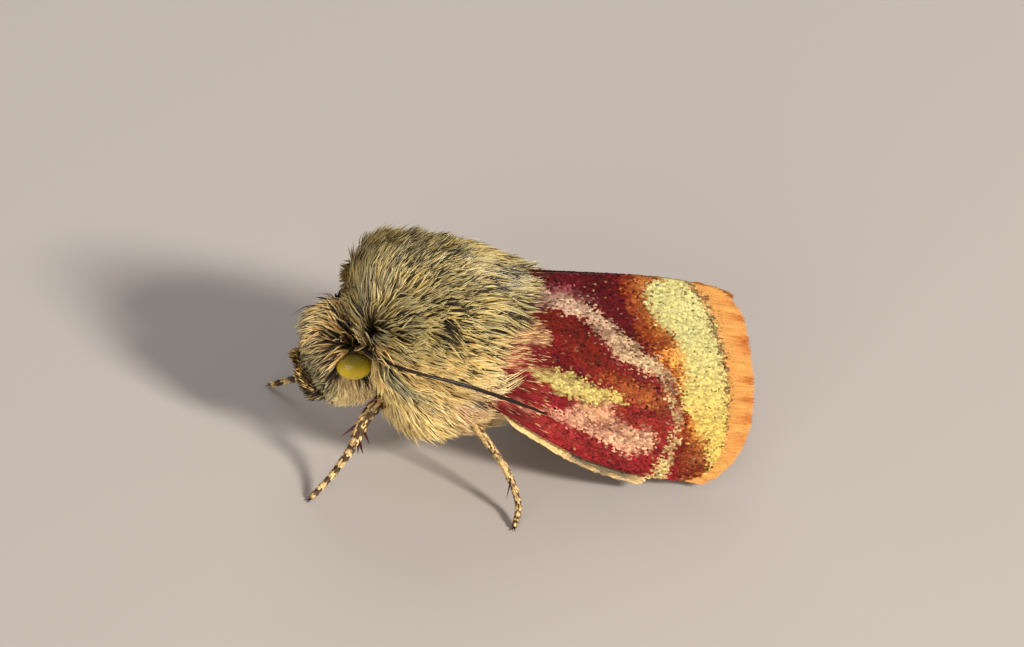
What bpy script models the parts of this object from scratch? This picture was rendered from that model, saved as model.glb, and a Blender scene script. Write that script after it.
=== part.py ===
"""A matutinal flower moth, Schinia mitis, life size, at rest with its wings roofed over its body.

It faces -X, its left side is towards -Y, and its feet stand on z = 0. Pieces are made in millimetres,
and to_metres() brings each finished mesh to metres, with the origin under the middle of the whole moth.
"""

import math
import random

import bmesh
import bpy
from mathutils import Matrix, Vector

MM = 0.001
COLLECTION = "flower_moth"
LEFT = -1
RIGHT = 1
SIDES = {"left": LEFT, "right": RIGHT}
GAP = 0.3  # between nodes that meet face to face
SHARP_ANGLE = math.radians(40)

# Body cores. Each is an ellipsoid: centre, then half lengths along X, Y and Z.
HEAD_CENTRE = Vector((-4.25, 0.0, 2.75))
HEAD_HALF = Vector((0.85, 1.0, 1.08))
HEAD_COAT = 0.3  # from the core out to the tips
THORAX_AXIS_Z = 3.2
THORAX_CORE_X = -2.5
THORAX_CORE_HALF = Vector((1.95, 2.0, 2.0))
# The coat's outline over the thorax and the wings' roots, as (x, radius about the thorax's axis).
COAT_OUTLINE = [
    (-5.00, 0.90),
    (-4.60, 1.60),
    (-4.00, 2.30),
    (-3.20, 2.68),
    (-2.40, 2.75),
    (-1.60, 2.52),
    (-0.80, 2.17),
    (-0.10, 1.90),
    (0.45, 1.72),
]
# The coat parts at a whorl above each eye, from which it lies outwards, and turns to the rear further back.
WHORL = Vector((-3.67, 1.6, 4.49))
BACKWARD = 1.4
WING_ROOT_X = -1.6
ROOF_TUCK_Z = 3.9  # behind the wings' roots, no lock grows from the thorax below this
TURN_LENGTH = 2.2
# Locks of the coat: length, at the front and at the rear of the thorax, then width and thickness halfway.
THORAX_LOCK_LENGTH = (1.5, 2.5)
THORAX_LOCK_SIZE = (0.85, 0.5)
THORAX_TIERS = [-3.95, -3.4, -2.8, -2.15, -1.45]  # where each ring of roots goes round the thorax
TIER_SPACING = 0.78  # between the roots of one ring
HEAD_LOCKS = 50
HEAD_BARE_Z = 2.15  # no lock is rooted below this, where the palps and the folded tongue sit
HEAD_LOCK_LENGTH = 1.1
HEAD_LOCK_SIZE = (0.66, 0.42)
NECK_MARGIN = 0.2  # no lock of the head is rooted nearer to the neck cut
EYE_MARGIN = 0.1  # between an eye's half length and the nearest lock
TAIL_LOCKS = 7
TAIL_LOCK_LENGTH = 0.8
TAIL_LOCK_SIZE = (0.42, 0.3)
TAIL_LOCK_SUNK = 0.35  # of its length, inside the abdomen
TAIL_LOCK_OUT = (0.14, 0.12)  # from the axis: at its root, and how much more at its tip
PALP_LOCKS = 5
PALP_LOCK_LENGTH = 0.36
PALP_LOCK_SIZE = (0.26, 0.2)
PALP_LOCK_SHARES = (0.35, 0.5)  # of the palp: where the first one is rooted, and over what length they follow
PALP_LOCK_STEP = 0.05
PALP_LOCK_TURN = 2.4  # radians from each one to the next
PALP_LOCK_OUT = (0.6, 0.1)  # of the palp's radius at its root, and how much more at its tip
LOCK_STEPS = 3
LOCK_RISE = (-0.45, 0.45, 0.95, 1.1)  # of the coat's depth, from root to tip
LOCK_TAPER = (0.75, 1.0, 0.72, 0.0)  # of the full width, from root to tip
LOCK_SPREAD = 0.18  # how much length and direction vary
HEAD_SEED = 13
THORAX_SEED = 13
TAIL_SEED = 3
NECK_POINT = Vector((-3.85, 0.0, 3.0))
NECK_LEAN = math.radians(14)  # the top of the neck cut leans towards the head
NECK_CUT_TOP = 1.45  # above the neck's middle, the collar's coat reaches out over the head
WAIST_X = -0.85

# The abdomen: a row of rings that narrow to its end, under the roof of the wings.
ABDOMEN_RADIUS = 0.86
ABDOMEN_LEAN = math.radians(6.5)
ABDOMEN_START = Vector((WAIST_X + GAP + ABDOMEN_RADIUS * math.sin(ABDOMEN_LEAN), 0.0, 2.0))
ABDOMEN_LENGTH = 5.1
ABDOMEN_RINGS = 7
RING_STEP = 0.06
RING_SHARES = ((0.02, 0.0), (0.9, RING_STEP))  # where each ring starts and is widest, and its swell there
ABDOMEN_TAPER = (0.8, 2.2)  # how much narrower its end is, and how late that comes
LEAST_TAPER = 0.05

EYE_CENTRE = Vector((-4.2, 0.98, 3.02))
EYE_HALF = Vector((0.43, 0.3, 0.33))

# Forewing edges from base to outer margin, as (x, distance from the mid plane, z) of the upper face.
COSTA = [
    (-2.45, 1.60, 3.25),
    (-1.50, 1.95, 2.75),
    (-0.30, 2.37, 2.05),
    (1.30, 2.64, 1.10),
    (3.10, 2.68, 0.44),
    (4.80, 2.48, 0.21),
]
DORSUM = [
    (-2.45, 1.35, 3.80),
    (-1.40, 0.90, 4.33),
    (-0.20, 0.26, 4.80),
    (1.70, 0.18, 4.70),
    (3.50, 0.18, 4.44),
    (5.12, 0.22, 3.93),
]
ROOF_BULGE = 0.075  # of the wing's width
MARGIN_BULGE = 0.5
WING_LENGTH = 8.0
WING_THICK = 0.45
EDGE_SHARE = 0.4  # of the thickness, left at a wing's edges
EDGE_WIDTH = 0.07  # of the wing's width, over which it thins
WING_COLUMNS = 13
RIDGE_CLEAR = 0.15  # no point of a wing comes nearer to the mid plane
# Each vein: where it lies across the wing, from costa 0 to dorsum 1, and where it starts along it.
VEINS = [
    (0.10, 0.15),
    (0.21, 0.25),
    (0.32, 0.50),
    (0.43, 0.50),
    (0.54, 0.50),
    (0.66, 0.45),
    (0.78, 0.20),
    (0.91, 0.15),
]
VEIN_HALF = 0.022
VEIN_RISE = 0.07

# The hindwing lies folded under the forewing's costa and shows just below it.
HIND_SPAN = (0.33, 0.78)
HIND_WIDTH = (-0.05, 0.25)
HIND_COLUMNS = 9
HIND_ROWS = 5
HIND_VEIN_RISE = 0.05

# Limbs as (x, distance from the mid plane, z, radius), from root to tip.
ANTENNA = [
    (-4.05, 0.72, 3.85, 0.23),
    (-3.80, 1.65, 3.98, 0.23),
    (-3.10, 2.55, 3.98, 0.22),
    (-2.00, 2.98, 3.78, 0.21),
    (-0.90, 2.92, 3.26, 0.20),
    (0.15, 2.62, 2.55, 0.07),
]
PALP = [
    (-4.95, 0.40, 1.95, 0.24),
    (-5.15, 0.43, 2.10, 0.27),
    (-5.35, 0.43, 2.28, 0.22),
    (-5.55, 0.40, 2.45, 0.08),
]
FORELEG = [
    (-3.45, 0.60, 1.05, 0.28),
    (-3.50, 1.00, 1.20, 0.27),
    (-3.58, 1.40, 1.50, 0.26),
    (-3.95, 1.58, 1.48, 0.25),
    (-4.35, 1.70, 1.10, 0.24),
    (-4.80, 1.92, 0.62, 0.20),
    (-5.30, 2.20, 0.09, 0.14),
]
RIGHT_FOREFOOT_SHIFT = Vector((-0.28, 0.33, 0.0))  # it reaches further out than the left one
MIDLEG = [
    (-2.10, 0.80, 1.10, 0.32),
    (-1.95, 1.30, 1.10, 0.28),
    (-1.55, 2.10, 1.85, 0.26),
    (-1.15, 2.50, 1.50, 0.25),
    (-0.80, 2.92, 1.05, 0.24),
    (-0.45, 3.40, 0.50, 0.20),
    (-0.64, 3.75, 0.09, 0.14),
]
HINDLEG = [
    (-1.25, 0.52, 1.20, 0.26),
    (-0.90, 0.92, 1.00, 0.26),
    (-0.20, 1.08, 0.95, 0.25),
    (0.50, 1.00, 0.76, 0.25),
    (1.60, 0.95, 0.45, 0.22),
    (2.40, 0.90, 0.28, 0.18),
    (3.20, 0.88, 0.09, 0.13),
]
STEPS_PER_SPAN = 2
# Claws and spurs: the share of the way along the leg, then their reach along X, outwards and along Z.
SPURS = {
    "foreleg": [
        (0.58, Vector((-0.58, -0.10, -0.06))),
        (0.66, Vector((-0.50, 0.04, -0.34))),
        (0.64, Vector((-0.46, -0.40, -0.14))),
    ],
    "midleg": [(0.62, Vector((0.50, 0.16, -0.34))), (0.62, Vector((-0.30, 0.34, -0.46)))],
    "hindleg": [(0.52, Vector((0.52, 0.30, -0.04))), (0.52, Vector((0.52, -0.26, -0.02)))],
}
SPUR_RADIUS = 0.12
SPUR_SUNK = 0.1

COLOURS = {  # base colour, roughness
    "coat": ((0.42, 0.36, 0.17), 0.8),
    "abdomen": ((0.62, 0.50, 0.30), 0.8),
    "forewing": ((0.45, 0.10, 0.09), 0.65),
    "hindwing": ((0.72, 0.55, 0.30), 0.65),
    "eye": ((0.32, 0.30, 0.05), 0.2),
    "antenna": ((0.05, 0.035, 0.03), 0.5),
    "palp": ((0.16, 0.12, 0.08), 0.8),
    "leg": ((0.55, 0.46, 0.32), 0.7),
}


def clear_scene():
    """Removes every object, and adds the collection that the moth's pieces go in."""
    for old in list(bpy.data.objects):
        bpy.data.objects.remove(old, do_unlink=True)
    bpy.context.scene.collection.children.link(bpy.data.collections.new(COLLECTION))


def material(kind):
    found = bpy.data.materials.get(kind)
    if found:
        return found
    made = bpy.data.materials.new(kind)
    made.use_nodes = True
    colour, roughness = COLOURS[kind]
    shader = made.node_tree.nodes["Principled BSDF"]
    shader.inputs["Base Color"].default_value = (*colour, 1.0)
    shader.inputs["Roughness"].default_value = roughness
    shader.inputs["Metallic"].default_value = 0.0
    return made


def link(name, mesh):
    obj = bpy.data.objects.new(name, mesh)
    bpy.data.collections[COLLECTION].objects.link(obj)
    return obj


def from_bmesh(name, shape):
    mesh = bpy.data.meshes.new(name)
    shape.to_mesh(mesh)
    shape.free()
    return link(name, mesh)


def apply_modifiers(obj):
    bpy.context.view_layer.update()
    graph = bpy.context.evaluated_depsgraph_get()
    mesh = bpy.data.meshes.new_from_object(obj.evaluated_get(graph))
    obj.modifiers.clear()
    obj.data = mesh


def discard(objects):
    for obj in objects:
        bpy.data.objects.remove(obj, do_unlink=True)


def combine(obj, others, operation):
    """One Boolean of obj with a collection of closed meshes, which are removed afterwards."""
    group = bpy.data.collections.new(obj.name + "_others")
    bpy.context.scene.collection.children.link(group)
    for other in others:
        group.objects.link(other)
    boolean = obj.modifiers.new("boolean", "BOOLEAN")
    boolean.operation = operation
    boolean.operand_type = "COLLECTION"
    boolean.collection = group
    boolean.solver = "EXACT"
    apply_modifiers(obj)
    discard(others)
    bpy.data.collections.remove(group)


def fuse(obj, others):
    combine(obj, others, "UNION")


def cut(obj, cutters):
    combine(obj, cutters, "DIFFERENCE")


def islands_of(shape):
    """The faces of each connected surface of a bmesh."""
    left = set(shape.faces)
    found = []
    while left:
        island = set()
        edge = [left.pop()]
        while edge:
            face = edge.pop()
            island.add(face)
            for near in (f for e in face.edges for f in e.link_faces if f in left):
                left.discard(near)
                edge.append(near)
        found.append(island)
    return found


def island_volume(island):
    total = 0.0
    for face in island:
        first = face.verts[0].co
        for a, b in zip(face.verts[1:-1], face.verts[2:]):
            total += first.dot(a.co.cross(b.co)) / 6
    return total


def keep_largest(obj):
    """Leaves one closed surface: loose scraps and sealed hollows go."""
    shape = bmesh.new()
    shape.from_mesh(obj.data)
    islands = islands_of(shape)
    body = max(islands, key=island_volume)
    rest = [face for island in islands if island is not body for face in island]
    bmesh.ops.delete(shape, geom=rest, context="FACES")
    loose = [v for v in shape.verts if not v.link_faces]
    bmesh.ops.delete(shape, geom=loose, context="VERTS")
    shape.to_mesh(obj.data)
    shape.free()


def turned(name, profile, steps):
    """A closed form turned about X from (x, radius) points that start and end on its axis."""
    shape = bmesh.new()
    verts = [shape.verts.new((radius, 0, -x)) for x, radius in profile]
    for a, b in zip(verts, verts[1:]):
        shape.edges.new((a, b))
    made = from_bmesh(name, shape)
    screw = made.modifiers.new("turn", "SCREW")
    screw.steps = screw.render_steps = steps
    screw.use_merge_vertices = True
    screw.merge_threshold = 1e-4
    apply_modifiers(made)
    made.data.transform(Matrix.Rotation(-math.pi / 2, 4, "Y"))
    shape = bmesh.new()
    shape.from_mesh(made.data)
    bmesh.ops.remove_doubles(shape, verts=shape.verts, dist=1e-4)
    bmesh.ops.recalc_face_normals(shape, faces=shape.faces)
    shape.to_mesh(made.data)
    shape.free()
    return made


def ellipsoid(name, centre, half, around=24, along=14):
    shape = bmesh.new()
    place = Matrix.Translation(centre) @ Matrix.Diagonal((*half, 1)) @ Matrix.Rotation(math.pi / 2, 4, "Y")
    bmesh.ops.create_uvsphere(shape, u_segments=around, v_segments=along, radius=1, matrix=place)
    bmesh.ops.recalc_face_normals(shape, faces=shape.faces)
    return from_bmesh(name, shape)


def box(name, centre, half, turn=Matrix()):
    shape = bmesh.new()
    place = Matrix.Translation(centre) @ turn.to_4x4() @ Matrix.Diagonal((*(2 * half), 1))
    bmesh.ops.create_cube(shape, size=1, matrix=place)
    return from_bmesh(name, shape)


def between(stops, t):
    """The value at t, from 0 to 1, on a smooth curve through even stops, carried on past its ends."""
    last = len(stops) - 1
    spot = t * last
    i = min(max(int(math.floor(spot)), 0), last - 1)
    f = spot - i
    b, c = Vector(stops[i]), Vector(stops[i + 1])
    a = Vector(stops[i - 1]) if i > 0 else 2 * b - c
    d = Vector(stops[i + 2]) if i + 2 <= last else 2 * c - b
    if not 0 <= f <= 1:
        return b + (c - b) * f
    return 0.5 * (2 * b + (c - a) * f + (2 * a - 5 * b + 4 * c - d) * f**2 + (3 * b - a - 3 * c + d) * f**3)


def on_side(stops, side):
    """Limb stops with their distance from the mid plane turned into y."""
    return [(x, side * out, z, r) for x, out, z, r in stops]


def tube(name, stops, extra=0.0):
    """An eight-sided limb through stops of (x, y, z, radius). extra makes a cutter that clears it."""
    count = (len(stops) - 1) * STEPS_PER_SPAN
    path = [between([Vector(s) for s in stops], k / count) for k in range(count + 1)]
    if extra:
        first, last = path[0].copy(), path[-1].copy()
        first.xyz += (path[0].xyz - path[1].xyz).normalized() * extra
        last.xyz += (path[-1].xyz - path[-2].xyz).normalized() * extra
        path = [first, *path, last]
    curve = bpy.data.curves.new(name, "CURVE")
    curve.dimensions = "3D"
    curve.bevel_depth = 1.0
    curve.bevel_resolution = 2
    curve.use_fill_caps = True
    spline = curve.splines.new("POLY")
    spline.points.add(len(path) - 1)
    for point, stop in zip(spline.points, path):
        point.co = (*stop[:3], 1.0)
        point.radius = (stop[3] + extra) / math.cos(math.pi / 8) if extra else stop[3]
    bent = link(name, curve)
    bpy.context.view_layer.update()
    mesh = bpy.data.meshes.new_from_object(bent.evaluated_get(bpy.context.evaluated_depsgraph_get()))
    bpy.data.objects.remove(bent, do_unlink=True)
    shape = bmesh.new()
    shape.from_mesh(mesh)
    bmesh.ops.remove_doubles(shape, verts=shape.verts, dist=1e-4)
    bmesh.ops.recalc_face_normals(shape, faces=shape.faces)
    return from_bmesh(name, shape)


def roof(u, v, side, depth=0.0):
    """A point on the forewing's upper face, or depth below it.

    u runs from base to margin, v from costa to dorsum.
    """

    def flat(u, v):
        costa, dorsum = between(COSTA, u), between(DORSUM, u)
        point = costa.lerp(dorsum, v)
        point.x += MARGIN_BULGE * math.sin(math.pi * min(max(v, 0), 1)) * max(u, 0) ** 3
        return point

    step = 0.01
    along = flat(u + step, v) - flat(u - step, v)
    across = flat(u, v + step) - flat(u, v - step)
    out = along.cross(across).normalized()
    if out.y < 0:
        out.negate()
    width = (between(COSTA, u) - between(DORSUM, u)).length
    lift = ROOF_BULGE * width * math.sin(math.pi * min(max(v, 0), 1)) - depth
    point = flat(u, v) + out * lift
    return Vector((point.x, side * point.y, point.z))


def wing_rows():
    """Places across the forewing: its edges, and three rows for each vein, its foot, crest and foot."""
    rows = [0.0]
    for v, _ in VEINS:
        rows += [v - VEIN_HALF, v, v + VEIN_HALF]
    return [*rows, 1.0]


def sheet(name, side, columns, rows, depth, thick, grow=0.0, veins=()):
    """A closed wing from a grid of places on the roof, solidified inwards, thin at its edges."""
    columns, rows = list(columns), list(rows)
    if grow:
        columns = [columns[0] - grow / WING_LENGTH, *columns, columns[-1] + grow / WING_LENGTH]
        rows = [rows[0], *rows, rows[-1]]
        depth -= grow
        thick += 2 * grow
    shape = bmesh.new()
    bmesh.ops.create_grid(shape, x_segments=len(columns) - 1, y_segments=len(rows) - 1, size=0.5)
    places = []
    for vert in shape.verts:
        i = round((vert.co.x + 0.5) * (len(columns) - 1))
        j = round((vert.co.y + 0.5) * (len(rows) - 1))
        u, v = columns[i], rows[j]
        width = (between(COSTA, u) - between(DORSUM, u)).length
        if j == 0:
            v -= grow / width
        elif j == len(rows) - 1:
            v += grow / width
        places.append((u, v))
        vert.co = roof(u, v, side, depth)
    bmesh.ops.triangulate(shape, faces=shape.faces)
    shape.normal_update()
    if sum(f.normal.y * side for f in shape.faces) < 0:
        bmesh.ops.reverse_faces(shape, faces=shape.faces)
    wing = from_bmesh(name, shape)
    thickness = wing.vertex_groups.new(name="thickness")
    for index, (u, v) in enumerate(places):
        inset = min(v - rows[0], rows[-1] - v, columns[-1] - u, EDGE_WIDTH) / EDGE_WIDTH
        share = 1.0 if grow else EDGE_SHARE + (1 - EDGE_SHARE) * inset
        thickness.add([index], share, "REPLACE")
    solid = wing.modifiers.new("solid", "SOLIDIFY")
    solid.thickness = thick
    solid.offset = -1
    solid.vertex_group = thickness.name
    normals = [v.normal.copy() for v in wing.data.vertices]
    apply_modifiers(wing)
    for index, (u, v) in enumerate(places):
        for at, start, rise in veins:
            if abs(v - at) < 1e-6 and columns[0] < u < columns[-1] and u > start:
                wing.data.vertices[index].co += normals[index] * rise
    for vert in wing.data.vertices if not grow else ():
        vert.co.y = side * max(side * vert.co.y, RIDGE_CLEAR)
    return wing


def forewing(name, side, grow=0.0):
    columns = [k / (WING_COLUMNS - 1) for k in range(WING_COLUMNS)]
    rows = [k / 4 for k in range(5)] if grow else wing_rows()
    veins = () if grow else [(at, start, VEIN_RISE) for at, start in VEINS]
    return sheet(name, side, columns, rows, 0.0, WING_THICK, grow, veins)


def hindwing(name, side, grow=0.0):
    first, last = HIND_SPAN
    low, high = HIND_WIDTH
    columns = [first + (last - first) * k / (HIND_COLUMNS - 1) for k in range(HIND_COLUMNS)]
    rows = [low + (high - low) * k / (HIND_ROWS - 1) for k in range(HIND_ROWS)]
    veins = () if grow else [(at, first, HIND_VEIN_RISE) for at in rows[1::2]]
    return sheet(name, side, columns, rows, WING_THICK + GAP, WING_THICK, grow, veins)


def front_of_neck(shift=0.0):
    """A large block whose rear face is the neck cut, moved back by shift, with its top over the head."""
    turn = Matrix.Rotation(-NECK_LEAN, 3, "Y")
    half = Vector((4, 6, 4))
    centre = turn @ Vector((shift - half.x, 0, NECK_CUT_TOP - half.z))
    return box("front", NECK_POINT + centre, half, turn)


def behind_neck(shift=0.0):
    turn = Matrix.Rotation(-NECK_LEAN, 3, "Y")
    half = Vector((8, 6, 8))
    back = turn @ Vector((1, 0, 0))
    return box("behind", NECK_POINT + back * (shift + half.x), half, turn)


def floor_block():
    return box("floor", Vector((0, 0, -2)), Vector((10, 10, 2)))


def antenna(name, side, extra=0.0):
    return tube(name, on_side(ANTENNA, side), extra)


def palp(name, side, extra=0.0):
    stops = on_side(PALP, side)
    made = tube(name, stops, extra)
    if not extra:
        fuse(made, palp_bristles(stops))
        keep_largest(made)
    return made


def leg(name, stops, side, extra=0.0):
    stops = on_side(stops, side)
    if name.startswith("foreleg") and side == RIGHT:
        last = len(stops) - 1
        stops = [
            (*(Vector(s[:3]) + RIGHT_FOREFOOT_SHIFT * (k / last) ** 2), s[3]) for k, s in enumerate(stops)
        ]
    made = tube(name, stops, extra)
    if not extra:
        spurs = SPURS[name.split("_")[0]]
        fuse(made, [spur(stops, share, reach, side) for share, reach in spurs])
        cut(made, [floor_block()])
    return made


def spur(stops, share, reach, side):
    """A claw: a slim cone with its base inside the leg."""
    root = between([Vector(s) for s in stops], share).xyz
    reach = Vector((reach.x, side * reach.y, reach.z))
    way = reach.normalized()
    shape = bmesh.new()
    length = reach.length + SPUR_SUNK
    turn = Vector((0, 0, 1)).rotation_difference(way).to_matrix().to_4x4()
    place = Matrix.Translation(root + way * (length / 2 - SPUR_SUNK)) @ turn
    bmesh.ops.create_cone(
        shape, cap_ends=True, segments=5, radius1=SPUR_RADIUS, radius2=0, depth=length, matrix=place
    )
    return from_bmesh("spur", shape)


LEGS = {"foreleg": FORELEG, "midleg": MIDLEG, "hindleg": HINDLEG}


def legs(extra=0.0):
    return [leg(f"{kind}_{word}", LEGS[kind], side, extra) for kind in LEGS for word, side in SIDES.items()]


def eye(name, side, grow=0.0):
    centre = Vector((EYE_CENTRE.x, side * EYE_CENTRE.y, EYE_CENTRE.z))
    return ellipsoid(name, centre, EYE_HALF + Vector((grow, grow, grow)), 16, 8)


def head():
    made = ellipsoid("head", HEAD_CENTRE, HEAD_HALF, 18, 12)
    fuse(made, head_locks())
    clear = [behind_neck(-GAP / 2)]
    for side in SIDES.values():
        clear += [
            eye("clear_eye", side, GAP),
            antenna("clear_antenna", side, GAP),
            palp("clear_palp", side, GAP),
        ]
    cut(made, clear)
    keep_largest(made)
    return made


def smooth_step(t):
    t = min(max(t, 0.0), 1.0)
    return t * t * (3 - 2 * t)


def lie(point, normal):
    """The way the coat lies: away from the whorls, and turning to the rear over the thorax."""
    whorls = [Vector((WHORL.x, side * WHORL.y, WHORL.z)) for side in SIDES.values()]
    away = sum(((point - w) / (point - w).length ** 3 for w in whorls), Vector()).normalized()
    flow = away + Vector((1, 0, 0)) * BACKWARD * smooth_step((point.x - WHORL.x) / TURN_LENGTH)
    flow -= normal * flow.dot(normal)
    return flow.normalized()


def thorax_skin(point, rise):
    """The point of the thorax nearest a given one, at a share of the coat's depth, and the way out there."""
    out = Vector((0, point.y, point.z - THORAX_AXIS_Z)).normalized()
    share = min(abs(point.x - THORAX_CORE_X) / THORAX_CORE_HALF.x, 1.0)
    core = THORAX_CORE_HALF.z * math.sqrt(1 - share**2)
    tips = coat_radius(point.x) - THORAX_LOCK_SIZE[1] / 4
    radius = core + (tips - core) * rise if rise > 0 else core + THORAX_LOCK_SIZE[1] * rise
    return Vector((point.x, 0, THORAX_AXIS_Z)) + out * radius, out


def head_skin(point, rise):
    """The same on the head."""
    toward = point - HEAD_CENTRE
    unit = Vector(toward[k] / HEAD_HALF[k] for k in range(3)).normalized()
    out = Vector(unit[k] / HEAD_HALF[k] for k in range(3)).normalized()
    surface = HEAD_CENTRE + Vector(unit[k] * HEAD_HALF[k] for k in range(3))
    return surface + out * HEAD_COAT * rise, out


def coat_radius(x):
    """The coat's outline at x, straight between its stops."""
    for (x0, r0), (x1, r1) in zip(COAT_OUTLINE, COAT_OUTLINE[1:]):
        if x <= x1:
            return r0 + (r1 - r0) * (x - x0) / (x1 - x0)
    return COAT_OUTLINE[-1][1]


def lock(path, size, swing):
    """A flat tapered lock: a long pyramid bent along a path of (point, way out), its tip moved by swing."""
    width, thick = size
    shape = bmesh.new()
    bmesh.ops.create_cone(shape, cap_ends=True, segments=4, radius1=1, radius2=0, depth=1)
    for step in range(1, LOCK_STEPS):
        everything = shape.verts[:] + shape.edges[:] + shape.faces[:]
        level = Vector((0, 0, step / LOCK_STEPS - 0.5))
        bmesh.ops.bisect_plane(shape, geom=everything, plane_co=level, plane_no=Vector((0, 0, 1)))
    points = [point for point, _ in path]
    for vert in shape.verts:
        step = round((vert.co.z + 0.5) * LOCK_STEPS)
        point, out = path[step]
        along = (points[min(step + 1, LOCK_STEPS)] - points[max(step - 1, 0)]).normalized()
        side = along.cross(out).normalized()
        ring = Vector((vert.co.x, vert.co.y))
        if ring.length > 1e-6:
            ring *= LOCK_TAPER[step] / (1 - step / LOCK_STEPS)
        up = side.cross(along)
        turn = swing * (step / LOCK_STEPS) ** 2
        vert.co = point + side * (ring.x * width / 2 + turn) + up * ring.y * thick / 2
    bmesh.ops.recalc_face_normals(shape, faces=shape.faces)
    return from_bmesh("lock", shape)


def lock_path(root, skin, length):
    """Stations from a root along the lie, each on the skin at its own rise."""
    point, out = skin(root, LOCK_RISE[0])
    path = [(point, out)]
    for rise in LOCK_RISE[1:]:
        point, out = skin(point + lie(point, out) * length / LOCK_STEPS, rise)
        path.append((point, out))
    return path


def even_points(count):
    """Directions spread evenly over a sphere, in a spiral from its -X pole to its +X pole."""
    for k in range(count):
        x = 2 * (k + 0.5) / count - 1
        around = k * math.pi * (3 - math.sqrt(5))
        ring = math.sqrt(1 - x * x)
        yield Vector((x, ring * math.cos(around), ring * math.sin(around)))


def thorax_locks():
    """Rings of roots round the core, each ring's tips over the next one's roots."""
    first, last = THORAX_LOCK_LENGTH
    draw = random.Random(THORAX_SEED)
    made = []
    for tier, x in enumerate(THORAX_TIERS):
        share = abs(x - THORAX_CORE_X) / THORAX_CORE_HALF.x
        radius = THORAX_CORE_HALF.z * math.sqrt(1 - share**2)
        count = round(2 * math.pi * radius / TIER_SPACING)
        for k in range(count):
            around = 2 * math.pi * (k + tier % 2 / 2 + LOCK_SPREAD * draw.uniform(-1, 1)) / count
            root = Vector((x, radius * math.sin(around), THORAX_AXIS_Z + radius * math.cos(around)))
            if root.x > WING_ROOT_X and root.z < ROOF_TUCK_Z:
                continue
            back = smooth_step((x - WHORL.x) / TURN_LENGTH)
            length = (first + (last - first) * back) * (1 + LOCK_SPREAD * draw.uniform(-1, 1))
            path = lock_path(root, thorax_skin, length)
            made.append(lock(path, THORAX_LOCK_SIZE, LOCK_SPREAD * draw.uniform(-1, 1)))
    return made


def head_locks():
    draw = random.Random(HEAD_SEED)
    made = []
    for way in even_points(HEAD_LOCKS):
        root = HEAD_CENTRE + Vector(way[k] * HEAD_HALF[k] for k in range(3))
        if (root - NECK_POINT).dot(Vector((math.cos(NECK_LEAN), 0, math.sin(NECK_LEAN)))) > -NECK_MARGIN:
            continue
        if root.z < HEAD_BARE_Z:
            continue
        length = HEAD_LOCK_LENGTH * (1 + LOCK_SPREAD * draw.uniform(-1, 1))
        path = lock_path(root, head_skin, length)
        eye_at = Vector((EYE_CENTRE.x, math.copysign(EYE_CENTRE.y, root.y), EYE_CENTRE.z))
        if min((point - eye_at).length for point, _ in path) < EYE_HALF.x + EYE_MARGIN:
            continue
        made.append(lock(path, HEAD_LOCK_SIZE, LOCK_SPREAD * draw.uniform(-1, 1)))
    return made


def under_roof(side_gap):
    """The closed space under the folded forewings, behind the waist, for cutting."""
    shape = bmesh.new()
    for side in SIDES.values():
        for u in (k / 12 for k in range(13)):
            for v in (k / 8 for k in range(9)):
                point = roof(u, v, side, side_gap)
                if point.x > WAIST_X:
                    shape.verts.new(point)
                    shape.verts.new((point.x, point.y, -1.0))
        start = next(u for u in (k / 400 for k in range(400)) if roof(u, 0.5, side).x > WAIST_X)
        for v in (k / 8 for k in range(9)):
            point = roof(start, v, side, side_gap)
            shape.verts.new((WAIST_X, point.y, point.z))
            shape.verts.new((WAIST_X, point.y, -1.0))
    hull = bmesh.ops.convex_hull(shape, input=shape.verts)
    bmesh.ops.delete(shape, geom=hull["geom_interior"], context="VERTS")
    return from_bmesh("under_roof", shape)


def thorax():
    made = ellipsoid("thorax", Vector((THORAX_CORE_X, 0, THORAX_AXIS_Z)), THORAX_CORE_HALF)
    fuse(made, thorax_locks())
    clear = [front_of_neck(GAP / 2), *legs(GAP), under_roof(WING_THICK / 2)]
    for side in SIDES.values():
        clear += [
            forewing("clear_forewing", side, GAP),
            hindwing("clear_hindwing", side, GAP),
            antenna("clear_antenna", side, GAP),
            eye("clear_eye", side, GAP),
        ]
    cut(made, clear)
    keep_largest(made)
    return made


def tail_tuft():
    """Locks round the abdomen's end, pointing backwards."""
    end = abdomen_place() @ Vector((ABDOMEN_LENGTH, 0, 0))
    along = (abdomen_place().to_3x3() @ Vector((1, 0, 0))).normalized()
    draw = random.Random(TAIL_SEED)
    made = []
    for k in range(TAIL_LOCKS):
        around = 2 * math.pi * (k + LOCK_SPREAD * draw.uniform(-1, 1)) / TAIL_LOCKS
        out = Vector((0, math.cos(around), math.sin(around)))
        length = TAIL_LOCK_LENGTH * (1 + LOCK_SPREAD * draw.uniform(-1, 1))
        path = []
        for step in range(LOCK_STEPS + 1):
            share = step / LOCK_STEPS
            reach = (share - TAIL_LOCK_SUNK) * length
            path.append((end + along * reach + out * (TAIL_LOCK_OUT[0] + TAIL_LOCK_OUT[1] * share), out))
        made.append(lock(path, TAIL_LOCK_SIZE, 0.0))
    return made


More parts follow.
